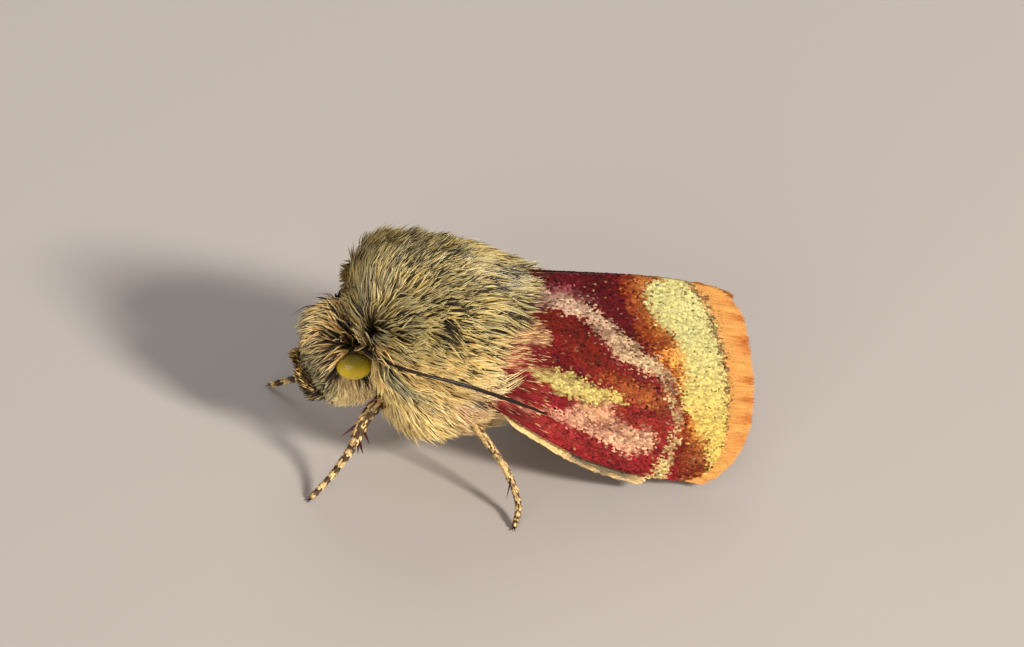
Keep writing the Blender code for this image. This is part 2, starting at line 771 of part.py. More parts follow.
def palp_bristles(stops):
    """Small locks along a palp, fanning forwards."""
    stops = [Vector(stop) for stop in stops]
    made = []
    for k in range(PALP_LOCKS):
        at = PALP_LOCK_SHARES[0] + PALP_LOCK_SHARES[1] * k / PALP_LOCKS
        here = between(stops, at)
        along = (between(stops, at + PALP_LOCK_STEP).xyz - here.xyz).normalized()
        around = PALP_LOCK_TURN * k
        side = along.cross(Vector((0, 0, 1))).normalized()
        out = side * math.cos(around) + along.cross(side) * math.sin(around)
        path = []
        for step in range(LOCK_STEPS + 1):
            share = step / LOCK_STEPS
            rise = here.w * PALP_LOCK_OUT[0] + PALP_LOCK_OUT[1] * share
            path.append((here.xyz + along * PALP_LOCK_LENGTH * share + out * rise, out))
        made.append(lock(path, PALP_LOCK_SIZE, 0.0))
    return made


def abdomen_place():
    return Matrix.Translation(ABDOMEN_START) @ Matrix.Rotation(ABDOMEN_LEAN, 4, "Y")


def abdomen(name="abdomen", grow=0.0):
    """A row of rings that narrow to the end, laid from the waist backwards and slightly down."""
    profile = [(-grow, 0.0)]
    for ring in range(ABDOMEN_RINGS):
        for share, swell in RING_SHARES:
            t = (ring + share) / ABDOMEN_RINGS
            taper = math.sqrt(max(1 - ABDOMEN_TAPER[0] * t ** ABDOMEN_TAPER[1], LEAST_TAPER))
            profile.append((t * ABDOMEN_LENGTH, ABDOMEN_RADIUS * taper + swell * (1 - t) + grow))
    profile.append((ABDOMEN_LENGTH + grow, 0.0))
    made = turned(name, profile, 16)
    made.data.transform(abdomen_place())
    return made


def finish(obj, kind):
    obj.data.materials.clear()
    obj.data.materials.append(material(kind))
    obj.data.shade_smooth()
    obj.data.set_sharp_from_angle(angle=SHARP_ANGLE)


def to_metres(objects):
    """Scales every mesh to metres and sets the origin under the middle of the whole moth."""
    corners = [obj.matrix_world @ Vector(c) for obj in objects for c in obj.bound_box]
    low = Vector(min(c[k] for c in corners) for k in range(3))
    high = Vector(max(c[k] for c in corners) for k in range(3))
    middle = Vector(((low.x + high.x) / 2, (low.y + high.y) / 2, low.z))
    for obj in objects:
        obj.data.transform(Matrix.Scale(MM, 4) @ Matrix.Translation(-middle))


def build():
    clear_scene()
    made = [(head(), "coat"), (thorax(), "coat")]
    body = abdomen()
    fuse(body, tail_tuft())
    made.append((body, "abdomen"))
    made += [(obj, "leg") for obj in legs()]
    for word, side in SIDES.items():
        folded = hindwing(f"hindwing_{word}", side)
        cut(folded, [abdomen("clear_abdomen", GAP), floor_block()])
        keep_largest(folded)
        made += [
            (forewing(f"forewing_{word}", side), "forewing"),
            (folded, "hindwing"),
            (eye(f"eye_{word}", side), "eye"),
            (antenna(f"antenna_{word}", side), "antenna"),
            (palp(f"palp_{word}", side), "palp"),
        ]
    for obj, kind in made:
        finish(obj, kind)
    bpy.context.view_layer.update()
    to_metres([obj for obj, _ in made])


build()
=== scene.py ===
# %% [markdown]
# # A flower moth at rest
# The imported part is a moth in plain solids. This notebook loads it as a fixed frame and dresses it with
# what the eye expects: a long shaggy coat, wings tiled with coloured scales, banded legs and faceted eyes.
# Every length of the moth is in millimetres below, in the frame the solids were drawn in, and becomes
# metres only when a mesh is made. The floor, the lights and the skin's voxels are in metres.

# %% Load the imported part
import math

import bpy
import numpy as np
from mathutils import Matrix, Vector


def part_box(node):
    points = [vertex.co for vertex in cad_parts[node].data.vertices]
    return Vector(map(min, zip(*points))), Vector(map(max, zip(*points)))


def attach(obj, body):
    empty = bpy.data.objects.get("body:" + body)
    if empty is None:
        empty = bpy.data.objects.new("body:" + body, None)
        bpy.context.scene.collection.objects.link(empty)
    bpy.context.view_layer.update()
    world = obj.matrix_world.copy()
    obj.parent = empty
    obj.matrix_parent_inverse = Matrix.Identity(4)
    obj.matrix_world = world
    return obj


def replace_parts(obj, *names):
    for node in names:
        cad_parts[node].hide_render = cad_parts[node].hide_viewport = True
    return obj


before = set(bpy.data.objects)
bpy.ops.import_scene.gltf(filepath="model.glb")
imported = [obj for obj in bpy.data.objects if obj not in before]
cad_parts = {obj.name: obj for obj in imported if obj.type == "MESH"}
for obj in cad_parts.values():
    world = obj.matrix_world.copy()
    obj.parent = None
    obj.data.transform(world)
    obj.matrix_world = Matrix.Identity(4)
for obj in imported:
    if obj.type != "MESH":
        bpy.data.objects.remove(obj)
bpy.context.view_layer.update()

# %% [markdown]
# ## One frame for everything
# The solids were moved so that the origin lies under the middle of the moth. The eyes are whole solids at
# a known place, so they tell how far the drawing frame has moved, and every new piece moves with it.

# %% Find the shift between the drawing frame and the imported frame
MM = 0.001
EYE_CENTRE = np.array((-4.2, 0.98, 3.02))  # the right eye
EYE_HALF = np.array((0.43, 0.30, 0.33))
SIDES = {"left": -1.0, "right": 1.0}

eye_low, eye_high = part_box("eye_right")
SHIFT = np.array(((eye_low.x + eye_high.x) / 2 / MM - EYE_CENTRE[0], 0.0, 0.0))
print("drawing frame moved by", round(float(SHIFT[0]), 3), "mm along X")


def placed(points):
    """Points of the drawing frame, in mm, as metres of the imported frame."""
    return (np.asarray(points, float) + SHIFT) * MM


# %% [markdown]
# ## The camera
# A photograph of so small an animal is taken through a long lens from close by, which flattens the view.
# The camera looks at a point in the moth's middle plane that falls on the middle of the picture, and is
# rolled a few degrees, as in a picture taken without a stand.

# %% Place the camera
PHOTO_WIDTH = 1024
PIXELS_PER_MM = 41.5
AZIMUTH = math.radians(-12)
ELEVATION = math.radians(35)
ROLL = math.radians(4)
CAMERA_AWAY = 200.0
LOOK_AT = np.array((-0.214, 0.0, 3.345))
SENSOR = 36.0

level = Vector((math.cos(AZIMUTH), math.sin(AZIMUTH), 0.0))
upward = Vector((
    -math.sin(AZIMUTH) * math.sin(ELEVATION),
    math.cos(AZIMUTH) * math.sin(ELEVATION),
    math.cos(ELEVATION),
))
right = level * math.cos(ROLL) + upward * math.sin(ROLL)
up = upward * math.cos(ROLL) - level * math.sin(ROLL)
back = right.cross(up)

lens = bpy.data.cameras.new("camera")
lens.sensor_width = SENSOR
lens.lens = SENSOR * PIXELS_PER_MM * CAMERA_AWAY / PHOTO_WIDTH
lens.clip_start = 0.01
lens.clip_end = 10.0
camera = bpy.data.objects.new("camera", lens)
bpy.context.scene.collection.objects.link(camera)
turn = Matrix((right, up, back)).transposed().to_4x4()
camera.matrix_world = Matrix.Translation(Vector(placed(LOOK_AT)) + back * CAMERA_AWAY * MM) @ turn
bpy.context.scene.camera = camera
print("lens of", round(lens.lens), "mm")

# %% [markdown]
# ## Floor and lights
# A plain pale floor keeps the eye on the moth. The key light comes from the right, as the sun did, but is
# a small area light, so that shadows keep a soft edge. A wide, weaker one fills them from the left, a third
# draws a bright edge along the back from behind, and the sky is a plain grey.

# %% Make the stage
FLOOR_HALF = 0.6
FLOOR_COLOUR = (0.53, 0.475, 0.445)
FLOOR_ROUGHNESS = 0.7
LIGHTS = {  # where it comes from, how far away and how wide it is, its watts and its colour
    "key_light": ((0.58, -0.72, 0.58), 0.28, 0.05, 0.98, (1.0, 0.95, 0.87)),
    "fill_light": ((-0.55, -0.95, 0.30), 0.35, 0.22, 0.52, (1.0, 0.97, 0.92)),
    "rim_light": ((0.1, 0.9, 0.75), 0.32, 0.2, 0.22, (1.0, 0.98, 0.95)),
}
SKY = (0.86, 0.85, 0.84)
SKY_STRENGTH = 0.25


def floor_material():
    material = bpy.data.materials.new("pale_floor")
    material.use_nodes = True
    shader = material.node_tree.nodes["Principled BSDF"]
    shader.inputs["Base Color"].default_value = (*FLOOR_COLOUR, 1.0)
    shader.inputs["Roughness"].default_value = FLOOR_ROUGHNESS
    return material


def area_light(name, source, away, width, power, colour):
    """A square lamp that points at the middle of the moth."""
    lamp = bpy.data.lights.new(name, "AREA")
    lamp.size = width
    lamp.energy = power
    lamp.color = colour
    obj = bpy.data.objects.new(name, lamp)
    bpy.context.scene.collection.objects.link(obj)
    way = Vector(source).normalized()
    obj.location = Vector(placed(LOOK_AT)) + way * away
    obj.rotation_euler = way.to_track_quat("Z", "Y").to_euler()
    print(f"{name}: {power} W from {away} m away")


floor_mesh = bpy.data.meshes.new("floor")
corners = [(x * FLOOR_HALF, y * FLOOR_HALF, 0.0) for x, y in ((-1, -1), (1, -1), (1, 1), (-1, 1))]
floor_mesh.from_pydata(corners, [], [(0, 1, 2, 3)])
floor_mesh.materials.append(floor_material())
floor = bpy.data.objects.new("floor", floor_mesh)
bpy.context.scene.collection.objects.link(floor)

for light_name, values in LIGHTS.items():
    area_light(light_name, *values)

bpy.context.scene.view_settings.view_transform = "Standard"
world = bpy.data.worlds.new("studio")
world.use_nodes = True
world.node_tree.nodes["Background"].inputs["Color"].default_value = (*SKY, 1.0)
world.node_tree.nodes["Background"].inputs["Strength"].default_value = SKY_STRENGTH
bpy.context.scene.world = world

# %% [markdown]
# ## Small tools
# Colours are picked as screen values and have to be made linear for the shaders. The noise below is a
# plain lattice noise in numpy, so that thousands of hairs or scales get their values in one call, and the
# same ones at every run.

# %% Colour, noise and smooth lines
NOISE_TABLE = 4096
NOISE_PRIMES = (73856093, 19349663, 83492791)


def srgb(red, green, blue):
    """A linear colour from three 0 to 255 screen values."""
    value = np.array([red, green, blue]) / 255.0
    return np.where(value <= 0.04045, value / 12.92, ((value + 0.055) / 1.055) ** 2.4)


def smooth_step(low, high, value):
    """A share that grows smoothly from 0 at low to 1 at high, also where high is the smaller."""
    share = np.clip((value - low) / (high - low), 0.0, 1.0)
    return share * share * (3.0 - 2.0 * share)


def noise(points, size, seed):
    """Smooth noise from -1 to 1, one value for each row of points; size is the width of one bump."""
    places = np.asarray(points, float) / size
    corner = np.floor(places).astype(np.int64)
    share = places - corner
    share = share * share * (3.0 - 2.0 * share)
    table = np.random.default_rng(seed).uniform(-1.0, 1.0, NOISE_TABLE)
    primes = np.array(NOISE_PRIMES[: places.shape[1]])
    total = np.zeros(len(places))
    for code in range(2 ** places.shape[1]):
        bits = np.array([(code >> axis) & 1 for axis in range(places.shape[1])])
        weight = np.prod(np.where(bits == 1, share, 1.0 - share), axis=1)
        hashed = np.bitwise_xor.reduce((corner + bits) * primes, axis=1)
        total += weight * table[hashed & (NOISE_TABLE - 1)]
    return total


def unit(vectors):
    """The same vectors at length 1."""
    return vectors / np.maximum(np.linalg.norm(vectors, axis=-1, keepdims=True), 1e-9)


def mixed(below, above, mask):
    """Two colours, or rows of them, blended by a mask that has one value for each row."""
    return below + (above - below) * mask[:, None]


def through(stops, share):
    """Points on a smooth line through evenly spaced stops, for shares from 0 to 1."""
    line = np.array(stops, float)
    line = np.vstack([2 * line[0] - line[1], line, 2 * line[-1] - line[-2]])
    spans = len(stops) - 1
    place = np.clip(share, 0.0, 1.0) * spans
    span = np.minimum(place.astype(int), spans - 1)
    t = (place - span)[..., None]
    a, b, c, d = (line[span + k] for k in range(4))
    return 0.5 * (2 * b + (c - a) * t + (2 * a - 5 * b + 4 * c - d) * t**2 + (3 * b - a - 3 * c + d) * t**3)


# %% [markdown]
# ## Node trees from tables
# A node tree is a list of nodes and a list of links. Written as two tables it stays readable, and three
# short helpers turn the tables into the tree, for shaders as well as for geometry.

# %% Helpers for node trees
def add_sockets(tree, entries, exits):
    """Makes a tree's inputs, each with its value, and its outputs. Returns the inputs' identifiers."""
    identifiers = {}
    for word, kind, value in entries:
        socket = tree.interface.new_socket(word, in_out="INPUT", socket_type="NodeSocket" + kind)
        if value is not None:
            socket.default_value = value
        identifiers[word] = socket.identifier
    for word, kind in exits:
        tree.interface.new_socket(word, in_out="OUTPUT", socket_type="NodeSocket" + kind)
    return identifiers


def add_nodes(tree, kinds):
    """New nodes by the words that the links use, each with its kind and the values of its inputs."""
    nodes = {}
    for word, (kind, values) in kinds.items():
        nodes[word] = tree.nodes.new(kind)
        for socket, value in values.items():
            nodes[word].inputs[socket].default_value = value
    return nodes


def join(tree, nodes, rows):
    """Links, each a row of a node, its output, the next node and its input."""
    for start, output, end, entry in rows:
        tree.links.new(nodes[start].outputs[output], nodes[end].inputs[entry])


# %% [markdown]
# ## Finishes
# Every hair and scale takes its colour from the attribute it carries, so one material can serve a whole
# coat. A shared node group adds what is too fine to model: a slight mottling, and a grain that breaks up
# the shine. Wing scales are powdery and nearly matt, hairs shine a little, and only the eyes and the claws
# are glossy.

# %% Shared shader group and materials
COLOUR_NAME = "coat_colour"
GRAIN_DETAIL = 4.0
GRAIN_CONTRAST = {"From Min": 0.3, "From Max": 0.7}
RELIEF_HEIGHT = 0.00001


def grain_group():
    """Mottling for a colour and a fine height, both from noise at a given scale."""
    group = bpy.data.node_groups.new("fine_grain", "ShaderNodeTree")
    entries = (("Vector", "Vector", None), ("Scale", "Float", 20000.0), ("Darkest", "Float", 0.8),
               ("Lightest", "Float", 1.15))
    add_sockets(group, entries, (("Tone", "Float"), ("Height", "Float")))
    nodes = add_nodes(group, {
        "entry": ("NodeGroupInput", {}),
        "cloud": ("ShaderNodeTexNoise", {"Detail": GRAIN_DETAIL}),
        "spread": ("ShaderNodeMapRange", GRAIN_CONTRAST),
        "leave": ("NodeGroupOutput", {}),
    })
    join(group, nodes, (
        ("entry", "Vector", "cloud", "Vector"),
        ("entry", "Scale", "cloud", "Scale"),
        ("cloud", "Fac", "spread", "Value"),
        ("entry", "Darkest", "spread", "To Min"),
        ("entry", "Lightest", "spread", "To Max"),
        ("spread", "Result", "leave", "Tone"),
        ("cloud", "Fac", "leave", "Height"),
    ))
    return group


GRAIN = grain_group()


def coat_material(name, scale, tones, roughness, specular, relief=None, colour=None):
    """A material that reads the colour attribute, or takes one colour, and mottles it."""
    material = bpy.data.materials.new(name)
    material.use_nodes = True
    tree = material.node_tree
    nodes = add_nodes(tree, {
        "where": ("ShaderNodeTexCoord", {}),
        "grain": ("ShaderNodeGroup", {}),
        "tint": ("ShaderNodeVectorMath", {}),
    })
    nodes["shader"] = tree.nodes["Principled BSDF"]
    nodes["shader"].inputs["Roughness"].default_value = roughness
    nodes["shader"].inputs["Specular IOR Level"].default_value = specular
    nodes["grain"].node_tree = GRAIN
    for socket, value in zip(("Scale", "Darkest", "Lightest"), (scale, *tones)):
        nodes["grain"].inputs[socket].default_value = value
    nodes["tint"].operation = "SCALE"
    join(tree, nodes, (
        ("where", "Object", "grain", "Vector"),
        ("grain", "Tone", "tint", "Scale"),
        ("tint", "Vector", "shader", "Base Color"),
    ))
    if colour is None:
        nodes.update(add_nodes(tree, {"source": ("ShaderNodeAttribute", {})}))
        nodes["source"].attribute_name = COLOUR_NAME
        join(tree, nodes, [("source", "Color", "tint", 0)])
    else:
        nodes["tint"].inputs[0].default_value = tuple(colour)
    if relief is not None:
        bump = ("ShaderNodeBump", {"Strength": relief, "Distance": RELIEF_HEIGHT})
        nodes.update(add_nodes(tree, {"bump": bump}))
        join(tree, nodes, [("grain", "Height", "bump", "Height"), ("bump", "Normal", "shader", "Normal")])
    print(f"{name}: roughness {roughness}")
    return material


HAIR = coat_material("hair_scales", 9000.0, (0.85, 1.12), 0.42, 0.35)
SCALES = coat_material("wing_scales", 30000.0, (0.86, 1.1), 0.6, 0.08, relief=0.3)
FLESH = coat_material("skin_under_coat", 5000.0, (0.7, 1.2), 0.7, 0.3, relief=0.5)
MEMBRANE = coat_material("wing_membrane", 20000.0, (0.8, 1.1), 0.55, 0.3, relief=0.4)
SHELL = coat_material("leg_shell", 20000.0, (0.75, 1.15), 0.42, 0.45, relief=0.4)
FEELER = coat_material("feeler", 24000.0, (0.6, 1.5), 0.45, 0.3, relief=0.5, colour=srgb(26, 18, 16))
CLAW = coat_material("claw", 20000.0, (0.7, 1.3), 0.25, 0.5, relief=0.2, colour=srgb(62, 10, 12))

# %% [markdown]
# ## From arrays to a mesh
# A coat of over thirty-five thousand hairs is far too many for objects or modifiers. Each kind of hair or
# scale is worked out once as a few points, repeated by array sums, and handed to Blender as one mesh. Each
# point carries its colour in an attribute, and each hair or scale has its own small patch of the OFBake map,
# at its root's place on the skin or wing.

# %% From arrays to a piece
MAP_NAME = "OFBake"
MAP_EDGE = 0.02  # how much of the map stays free along its sides
MAP_SPAN = 0.96
PATCH = 0.003  # the width of one hair's patch of the map
HAIR_FLATNESS = 0.4  # how thick a hair is, of its width
HAIR_TAPER = (0.6, 1.0, 0.8, 0.0)  # the width at each of a hair's stations, from root to tip
STATIONS = len(HAIR_TAPER)
ROOT_SHADE = (0.0, 0.85)  # the stretch of a hair over which the painted shade at its root fades
TIP_COLOUR = (0.35, 1.0)  # the stretch over which it takes on its tip's colour


def give_colours(mesh, colours):
    """Writes the colour attribute that the finishes read, one colour for each point."""
    layer = mesh.color_attributes.new(COLOUR_NAME, "FLOAT_COLOR", "POINT")
    rgba = np.hstack([np.clip(colours, 0.0, 1.0), np.ones((len(colours), 1))])
    layer.data.foreach_set("color", rgba.astype(np.float32).ravel())


def mesh_piece(name, points, faces, finish, slot, colours=None, uv=None, smooth=False):
    """A piece from points in mm and a list of face arrays. It rides on the one body."""
    mesh = bpy.data.meshes.new(name)
    corner = np.concatenate([f.ravel() for f in faces]).astype(np.int32)
    sides = np.concatenate([np.full(len(f), f.shape[1]) for f in faces])
    starts = np.concatenate([[0], np.cumsum(sides)[:-1]]).astype(np.int32)
    mesh.vertices.add(len(points))
    mesh.vertices.foreach_set("co", placed(points).astype(np.float32).ravel())
    mesh.loops.add(len(corner))
    mesh.loops.foreach_set("vertex_index", corner)
    mesh.polygons.add(len(sides))
    mesh.polygons.foreach_set("loop_start", starts)
    mesh.polygons.foreach_set("use_smooth", np.full(len(sides), smooth))
    if colours is not None:
        give_colours(mesh, colours)
    if uv is not None:
        layer = mesh.uv_layers.new(name=MAP_NAME)
        layer.data.foreach_set("uv", uv[corner].astype(np.float32).ravel())
    mesh.update(calc_edges=True)
    mesh.materials.append(finish)
    obj = bpy.data.objects.new(name, mesh)
    bpy.context.scene.collection.objects.link(obj)
    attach(obj, "root")
    triangles = int((sides - 2).sum())
    print(f"{name}: {triangles} triangles, from z {points[:, 2].min():.2f}")
    return obj


def repeated(faces, count, stride):
    """The face array of one form, repeated for a count of forms with that many points each."""
    return (faces[None] + (np.arange(count) * stride)[:, None, None]).reshape(-1, faces.shape[1])


def on_map(across, upwards, width=MAP_SPAN, height=MAP_SPAN):
    """Places on the map from shares of its width and height."""
    return np.stack([MAP_EDGE + width * across, MAP_EDGE + height * upwards], axis=1)


# %% One form for all hairs
def hair_piece(name, slot, finish, paths, outs, widths, root_colours, tip_colours, painted_root_shades, patches):
    """Solid three-sided hairs that follow their paths, as a piece, each darkened at its root by a painted
    shade.
    """
    count = len(paths)
    rings = STATIONS - 1
    ahead = np.concatenate([paths[:, 1:], paths[:, -1:]], axis=1)
    behind = np.concatenate([paths[:, :1], paths[:, :-1]], axis=1)
    along = unit(ahead - behind)
    side = unit(np.cross(along, outs))
    out = np.cross(side, along)
    half = 0.5 * widths[:, None, None] * np.array(HAIR_TAPER)[None, :, None]
    thick = half * HAIR_FLATNESS * 2
    ring = np.stack([paths - side * half - out * thick / 3,
                     paths + side * half - out * thick / 3,
                     paths + out * thick * 2 / 3], axis=2)
    points = np.concatenate([ring[:, :rings].reshape(count, rings * 3, 3), paths[:, rings:]], axis=1)
    quads, tips = [], []
    for j in range(3):
        nxt = (j + 1) % 3
        for k in range(rings - 1):
            quads.append((3 * k + nxt, 3 * k + j, 3 * k + 3 + j, 3 * k + 3 + nxt))
        tips.append((3 * rings - 3 + nxt, 3 * rings - 3 + j, 3 * rings))
    tips.append((0, 1, 2))
    stride = 3 * rings + 1
    faces = [repeated(np.array(quads), count, stride), repeated(np.array(tips), count, stride)]
    share = np.append(np.repeat(np.arange(rings), 3), rings) / rings
    # Painted shade: each hair is darkened at its root, deep in the coat, and reaches its full colour towards
    # the tip.
    darkest = np.broadcast_to(painted_root_shades, count)[:, None, None]
    shade = darkest + (1.0 - darkest) * smooth_step(*ROOT_SHADE, share)[None, :, None]
    turned = smooth_step(*TIP_COLOUR, share)[None, :, None]
    colours = (root_colours[:, None] + (tip_colours - root_colours)[:, None] * turned) * shade
    across = np.append(np.tile((-0.5, 0.5, 0.0), rings), 0.0)
    uv = patches[:, None] + (np.stack([across, share - 0.5], axis=1) * PATCH)[None]
    points, colours, uv = points.reshape(-1, 3), colours.reshape(-1, 3), uv.reshape(-1, 2)
    return mesh_piece(name, points, faces, finish, slot, colours, uv)


# %% One form for all scales
SCALE_OUTLINE = np.array(  # along the scale and across it, in shares of its length and width
    [(0.0, 0.0), (0.3, 0.36), (0.8, 0.5), (1.0, 0.24), (0.97, 0.0), (1.0, -0.24), (0.8, -0.5), (0.3, -0.36)]
)
SCALE_CROWN = (0.6, 0.0)
CROWN_RISE = 0.10  # of a scale's width
PAINTED_SCALE_SHADES = (0.78, 0.3)  # the painted shade at a scale's root, and what is added by its tip
SCALE_FLOOR = 0.002  # the least height of a scale's points


def scale_piece(name, slot, roots, along, out, lengths, widths, tilt, colours, patches):
    """Flat closed scales, each a shield with a raised crown, tilted up from its root, as a piece."""
    count = len(roots)
    side = unit(np.cross(along, out))
    flat = np.vstack([SCALE_OUTLINE, SCALE_CROWN])
    rise = np.append(np.zeros(len(SCALE_OUTLINE)), CROWN_RISE)
    forward = flat[None, :, 0] * lengths[:, None]
    lift = forward * tilt[:, None] + rise[None] * widths[:, None]
    across = flat[None, :, 1] * widths[:, None]
    points = roots[:, None] + along[:, None] * forward[..., None] + side[:, None] * across[..., None]
    points = (points + out[:, None] * lift[..., None]).reshape(-1, 3)
    points[:, 2] = np.maximum(points[:, 2], SCALE_FLOOR)
    edge = len(SCALE_OUTLINE)
    top = np.array([(k, (k + 1) % edge, edge) for k in range(edge)])
    bottom = np.arange(edge)[None, ::-1]
    faces = [repeated(top, count, edge + 1), repeated(bottom, count, edge + 1)]
    # Painted shade: each scale is darker at its root and lighter towards its tip.
    root_shaded = colours[:, None] * (PAINTED_SCALE_SHADES[0] + PAINTED_SCALE_SHADES[1] * flat[:, 0])[None, :, None]
    uv = patches[:, None] + ((flat - (0.5, 0.0)) * PATCH)[None]
    return mesh_piece(name, points, faces, SCALES, slot, root_shaded.reshape(-1, 3), uv.reshape(-1, 2))


# %% [markdown]
# ## The coat's lie
# The hairs part behind each eye and run away from there: forwards over the head, down the cheeks and the
# chest, and back over the wings. A field of directions says so for any point, and a hair is a walk along
# that field at a growing height over the skin. Where the field points out of the skin, as between the two
# partings, the hairs stand up. That is how real fur is groomed, and it costs a few array sums.

# %% Directions and surfaces of the coat
THORAX_AXIS = 3.2
DOME_X = -3.1  # where the coat is widest
DOME_REACH = 1.46  # how far it stands out ahead of that
DOME_RADIUS = 2.72
DOME_POWER = 2.5
REAR_X = [-3.1, -2.33, -1.6, -0.88, -0.16, 0.4]
REAR_RADIUS = [2.72, 2.60, 2.41, 2.17, 1.84, 1.6]
CHEST_BACK = 0.8  # how far the chest lies behind the collar
CHEST_HEIGHTS = (3.9, 2.0)
COAT_DEPTH = 0.78
REAR_DEPTH = 0.42
PARTING = np.array([(-4.06, 1.68, 4.58), (-4.18, 1.74, 4.20)])  # on the right side
BACK_TOP, BACK_FLANK = 0.30, 0.80
TURN_LENGTH = 1.6
STAND = 0.35  # the least lean of a hair
HEAD_CENTRE = np.array((-4.25, 0.0, 2.75))
HEAD_HALF = np.array((0.85, 1.0, 1.08))
HEAD_COAT = 0.27
EYE_WAY = unit(np.array((-0.17, 0.80, 0.57)))  # where the right eye looks
CLIMB_POWER = 0.85  # below 1, a hair rises fastest by its root
LOCK_POWER = 1.3  # above 1, a hair bends into its lock mostly by its tip
LOCK_LEAST = 0.4  # of the pull towards the guide hair
GUIDE_BATCH = 2000


def from_parting(points):
    """The ways from the nearest spot of each parting, and the distance to the nearer parting."""
    ways, gaps = [], []
    for side in SIDES.values():
        first, last = PARTING * (1.0, side, 1.0)
        span = last - first
        share = np.clip((points - first) @ span / (span @ span), 0.0, 1.0)
        ways.append(points - first - share[:, None] * span)
        gaps.append(np.linalg.norm(ways[-1], axis=1))
    return ways, gaps


def lie(points, outs):
    """The way the coat lies: away from the partings and to the rear, and shorter where the hairs stand."""
    ways, gaps = from_parting(points)
    away = sum(way / np.maximum(gap, 0.1)[:, None] ** 3 for way, gap in zip(ways, gaps))
    turn_back = smooth_step(0.0, TURN_LENGTH, points[:, 0] - PARTING[0, 0])
    flank = smooth_step(0.6, -0.1, outs[:, 2]) - 0.6 * smooth_step(-0.2, -0.7, outs[:, 2])
    back = turn_back * (BACK_TOP + (BACK_FLANK - BACK_TOP) * flank)
    flow = unit(away) + np.array((1.0, 0.0, 0.0)) * back[:, None]
    flow -= outs * np.sum(flow * outs, axis=1, keepdims=True)
    strength = np.minimum(np.linalg.norm(flow, axis=1), 1.0) * smooth_step(-0.1, 0.6, np.minimum(*gaps))
    return unit(flow) * (STAND + (1.0 - STAND) * strength)[:, None]


# %% The coat's surfaces over thorax and head
def thorax_coat_surface(points, rise):
    """Points moved to a share of the coat's depth over the thorax, and the way out there."""
    drop = CHEST_BACK * smooth_step(*CHEST_HEIGHTS, points[:, 2])
    x = points[:, 0] - drop - DOME_X
    off = np.stack([np.zeros_like(x), points[:, 1], points[:, 2] - THORAX_AXIS], axis=1)
    radius = np.maximum(np.linalg.norm(off, axis=1), 1e-6)
    ahead = np.maximum(-x, 0.0) / DOME_REACH
    size = (ahead**DOME_POWER + (radius / DOME_RADIUS) ** DOME_POWER) ** (-1.0 / DOME_POWER)
    rear_x = np.array(REAR_X) - DOME_X
    front = x < 0
    tip_x = np.where(front, x * size, x)
    tip_radius = np.where(front, radius * size, np.interp(x, rear_x, REAR_RADIUS))
    slope = (np.interp(x + 0.1, rear_x, REAR_RADIUS) - np.interp(x - 0.1, rear_x, REAR_RADIUS)) / 0.2
    front_way = -(np.maximum(-tip_x, 0.0) / DOME_REACH) ** (DOME_POWER - 1) / DOME_REACH
    round_way = (tip_radius / DOME_RADIUS) ** (DOME_POWER - 1) / DOME_RADIUS
    spoke = off / radius[:, None]
    out = spoke * np.where(front, round_way, 1.0)[:, None]
    out[:, 0] = np.where(front, front_way, -slope)
    out = unit(out)
    depth = COAT_DEPTH + (REAR_DEPTH - COAT_DEPTH) * smooth_step(-2.4, -0.9, points[:, 0])
    tip = spoke * tip_radius[:, None]
    tip[:, 0] = np.where(front, tip_x, 0.0)
    moved = tip - unit(tip) * (depth * (1.0 - rise))[:, None]
    moved[:, 0] += np.where(front, 0.0, tip_x) + DOME_X + drop
    moved[:, 2] += THORAX_AXIS
    return moved, out


def head_coat_surface(points, rise):
    """The same on the head."""
    way = unit((points - HEAD_CENTRE) / HEAD_HALF)
    out = unit(way / HEAD_HALF)
    return HEAD_CENTRE + way * HEAD_HALF + out * (HEAD_COAT * rise)[:, None], out


# %% Comb, clump and trim
def combed(roots, surface, lengths, rises, wander, draw, flow=lie):
    """Paths of hairs from their roots along the lie, at rises that grow from skin to tip."""
    climb = np.linspace(0.0, 1.0, STATIONS) ** CLIMB_POWER
    point, out = surface(roots, rises[:, 0])
    paths, outs = [point], [out]
    sideways = draw.normal(0.0, wander, len(roots))
    for k in range(1, STATIONS):
        way = flow(surface(point, np.ones(len(point)))[0], out)
        way = way + np.cross(out, way) * sideways[:, None]
        rise = rises[:, 0] + (rises[:, 1] - rises[:, 0]) * climb[k]
        point, out = surface(point + way * (lengths / (STATIONS - 1))[:, None], rise)
        paths.append(point)
        outs.append(out)
    return np.stack(paths, axis=1), np.stack(outs, axis=1)


def clumped(paths, size, pull, draw):
    """Hairs whose tips lean towards the tip of a near guide hair, so that they gather in locks."""
    roots = paths[:, 0]
    guides = draw.choice(len(roots), max(len(roots) // size, 1), replace=False)
    nearest = np.zeros(len(roots), int)
    for start in range(0, len(roots), GUIDE_BATCH):
        part = roots[start:start + GUIDE_BATCH]
        gap = np.linalg.norm(part[:, None] - roots[guides][None], axis=2)
        nearest[start:start + GUIDE_BATCH] = guides[gap.argmin(axis=1)]
    share = np.linspace(0.0, 1.0, STATIONS)[None, :, None] ** LOCK_POWER
    strength = pull * draw.uniform(LOCK_LEAST, 1.0, (len(roots), 1, 1))
    return paths + (paths[nearest] - paths) * share * strength


def clear_of_eyes(paths, margin):
    """True for each hair that leaves the view of both eyes free."""
    free = np.ones(len(paths), bool)
    for side in SIDES.values():
        gap = paths * (1.0, side, 1.0) - EYE_CENTRE
        ahead = gap @ EYE_WAY
        across = gap - ahead[..., None] * EYE_WAY
        near = np.linalg.norm(across / (EYE_HALF + margin), axis=2) < 1.0
        free &= ~(near & (ahead > -0.1)).any(axis=1)
    return free


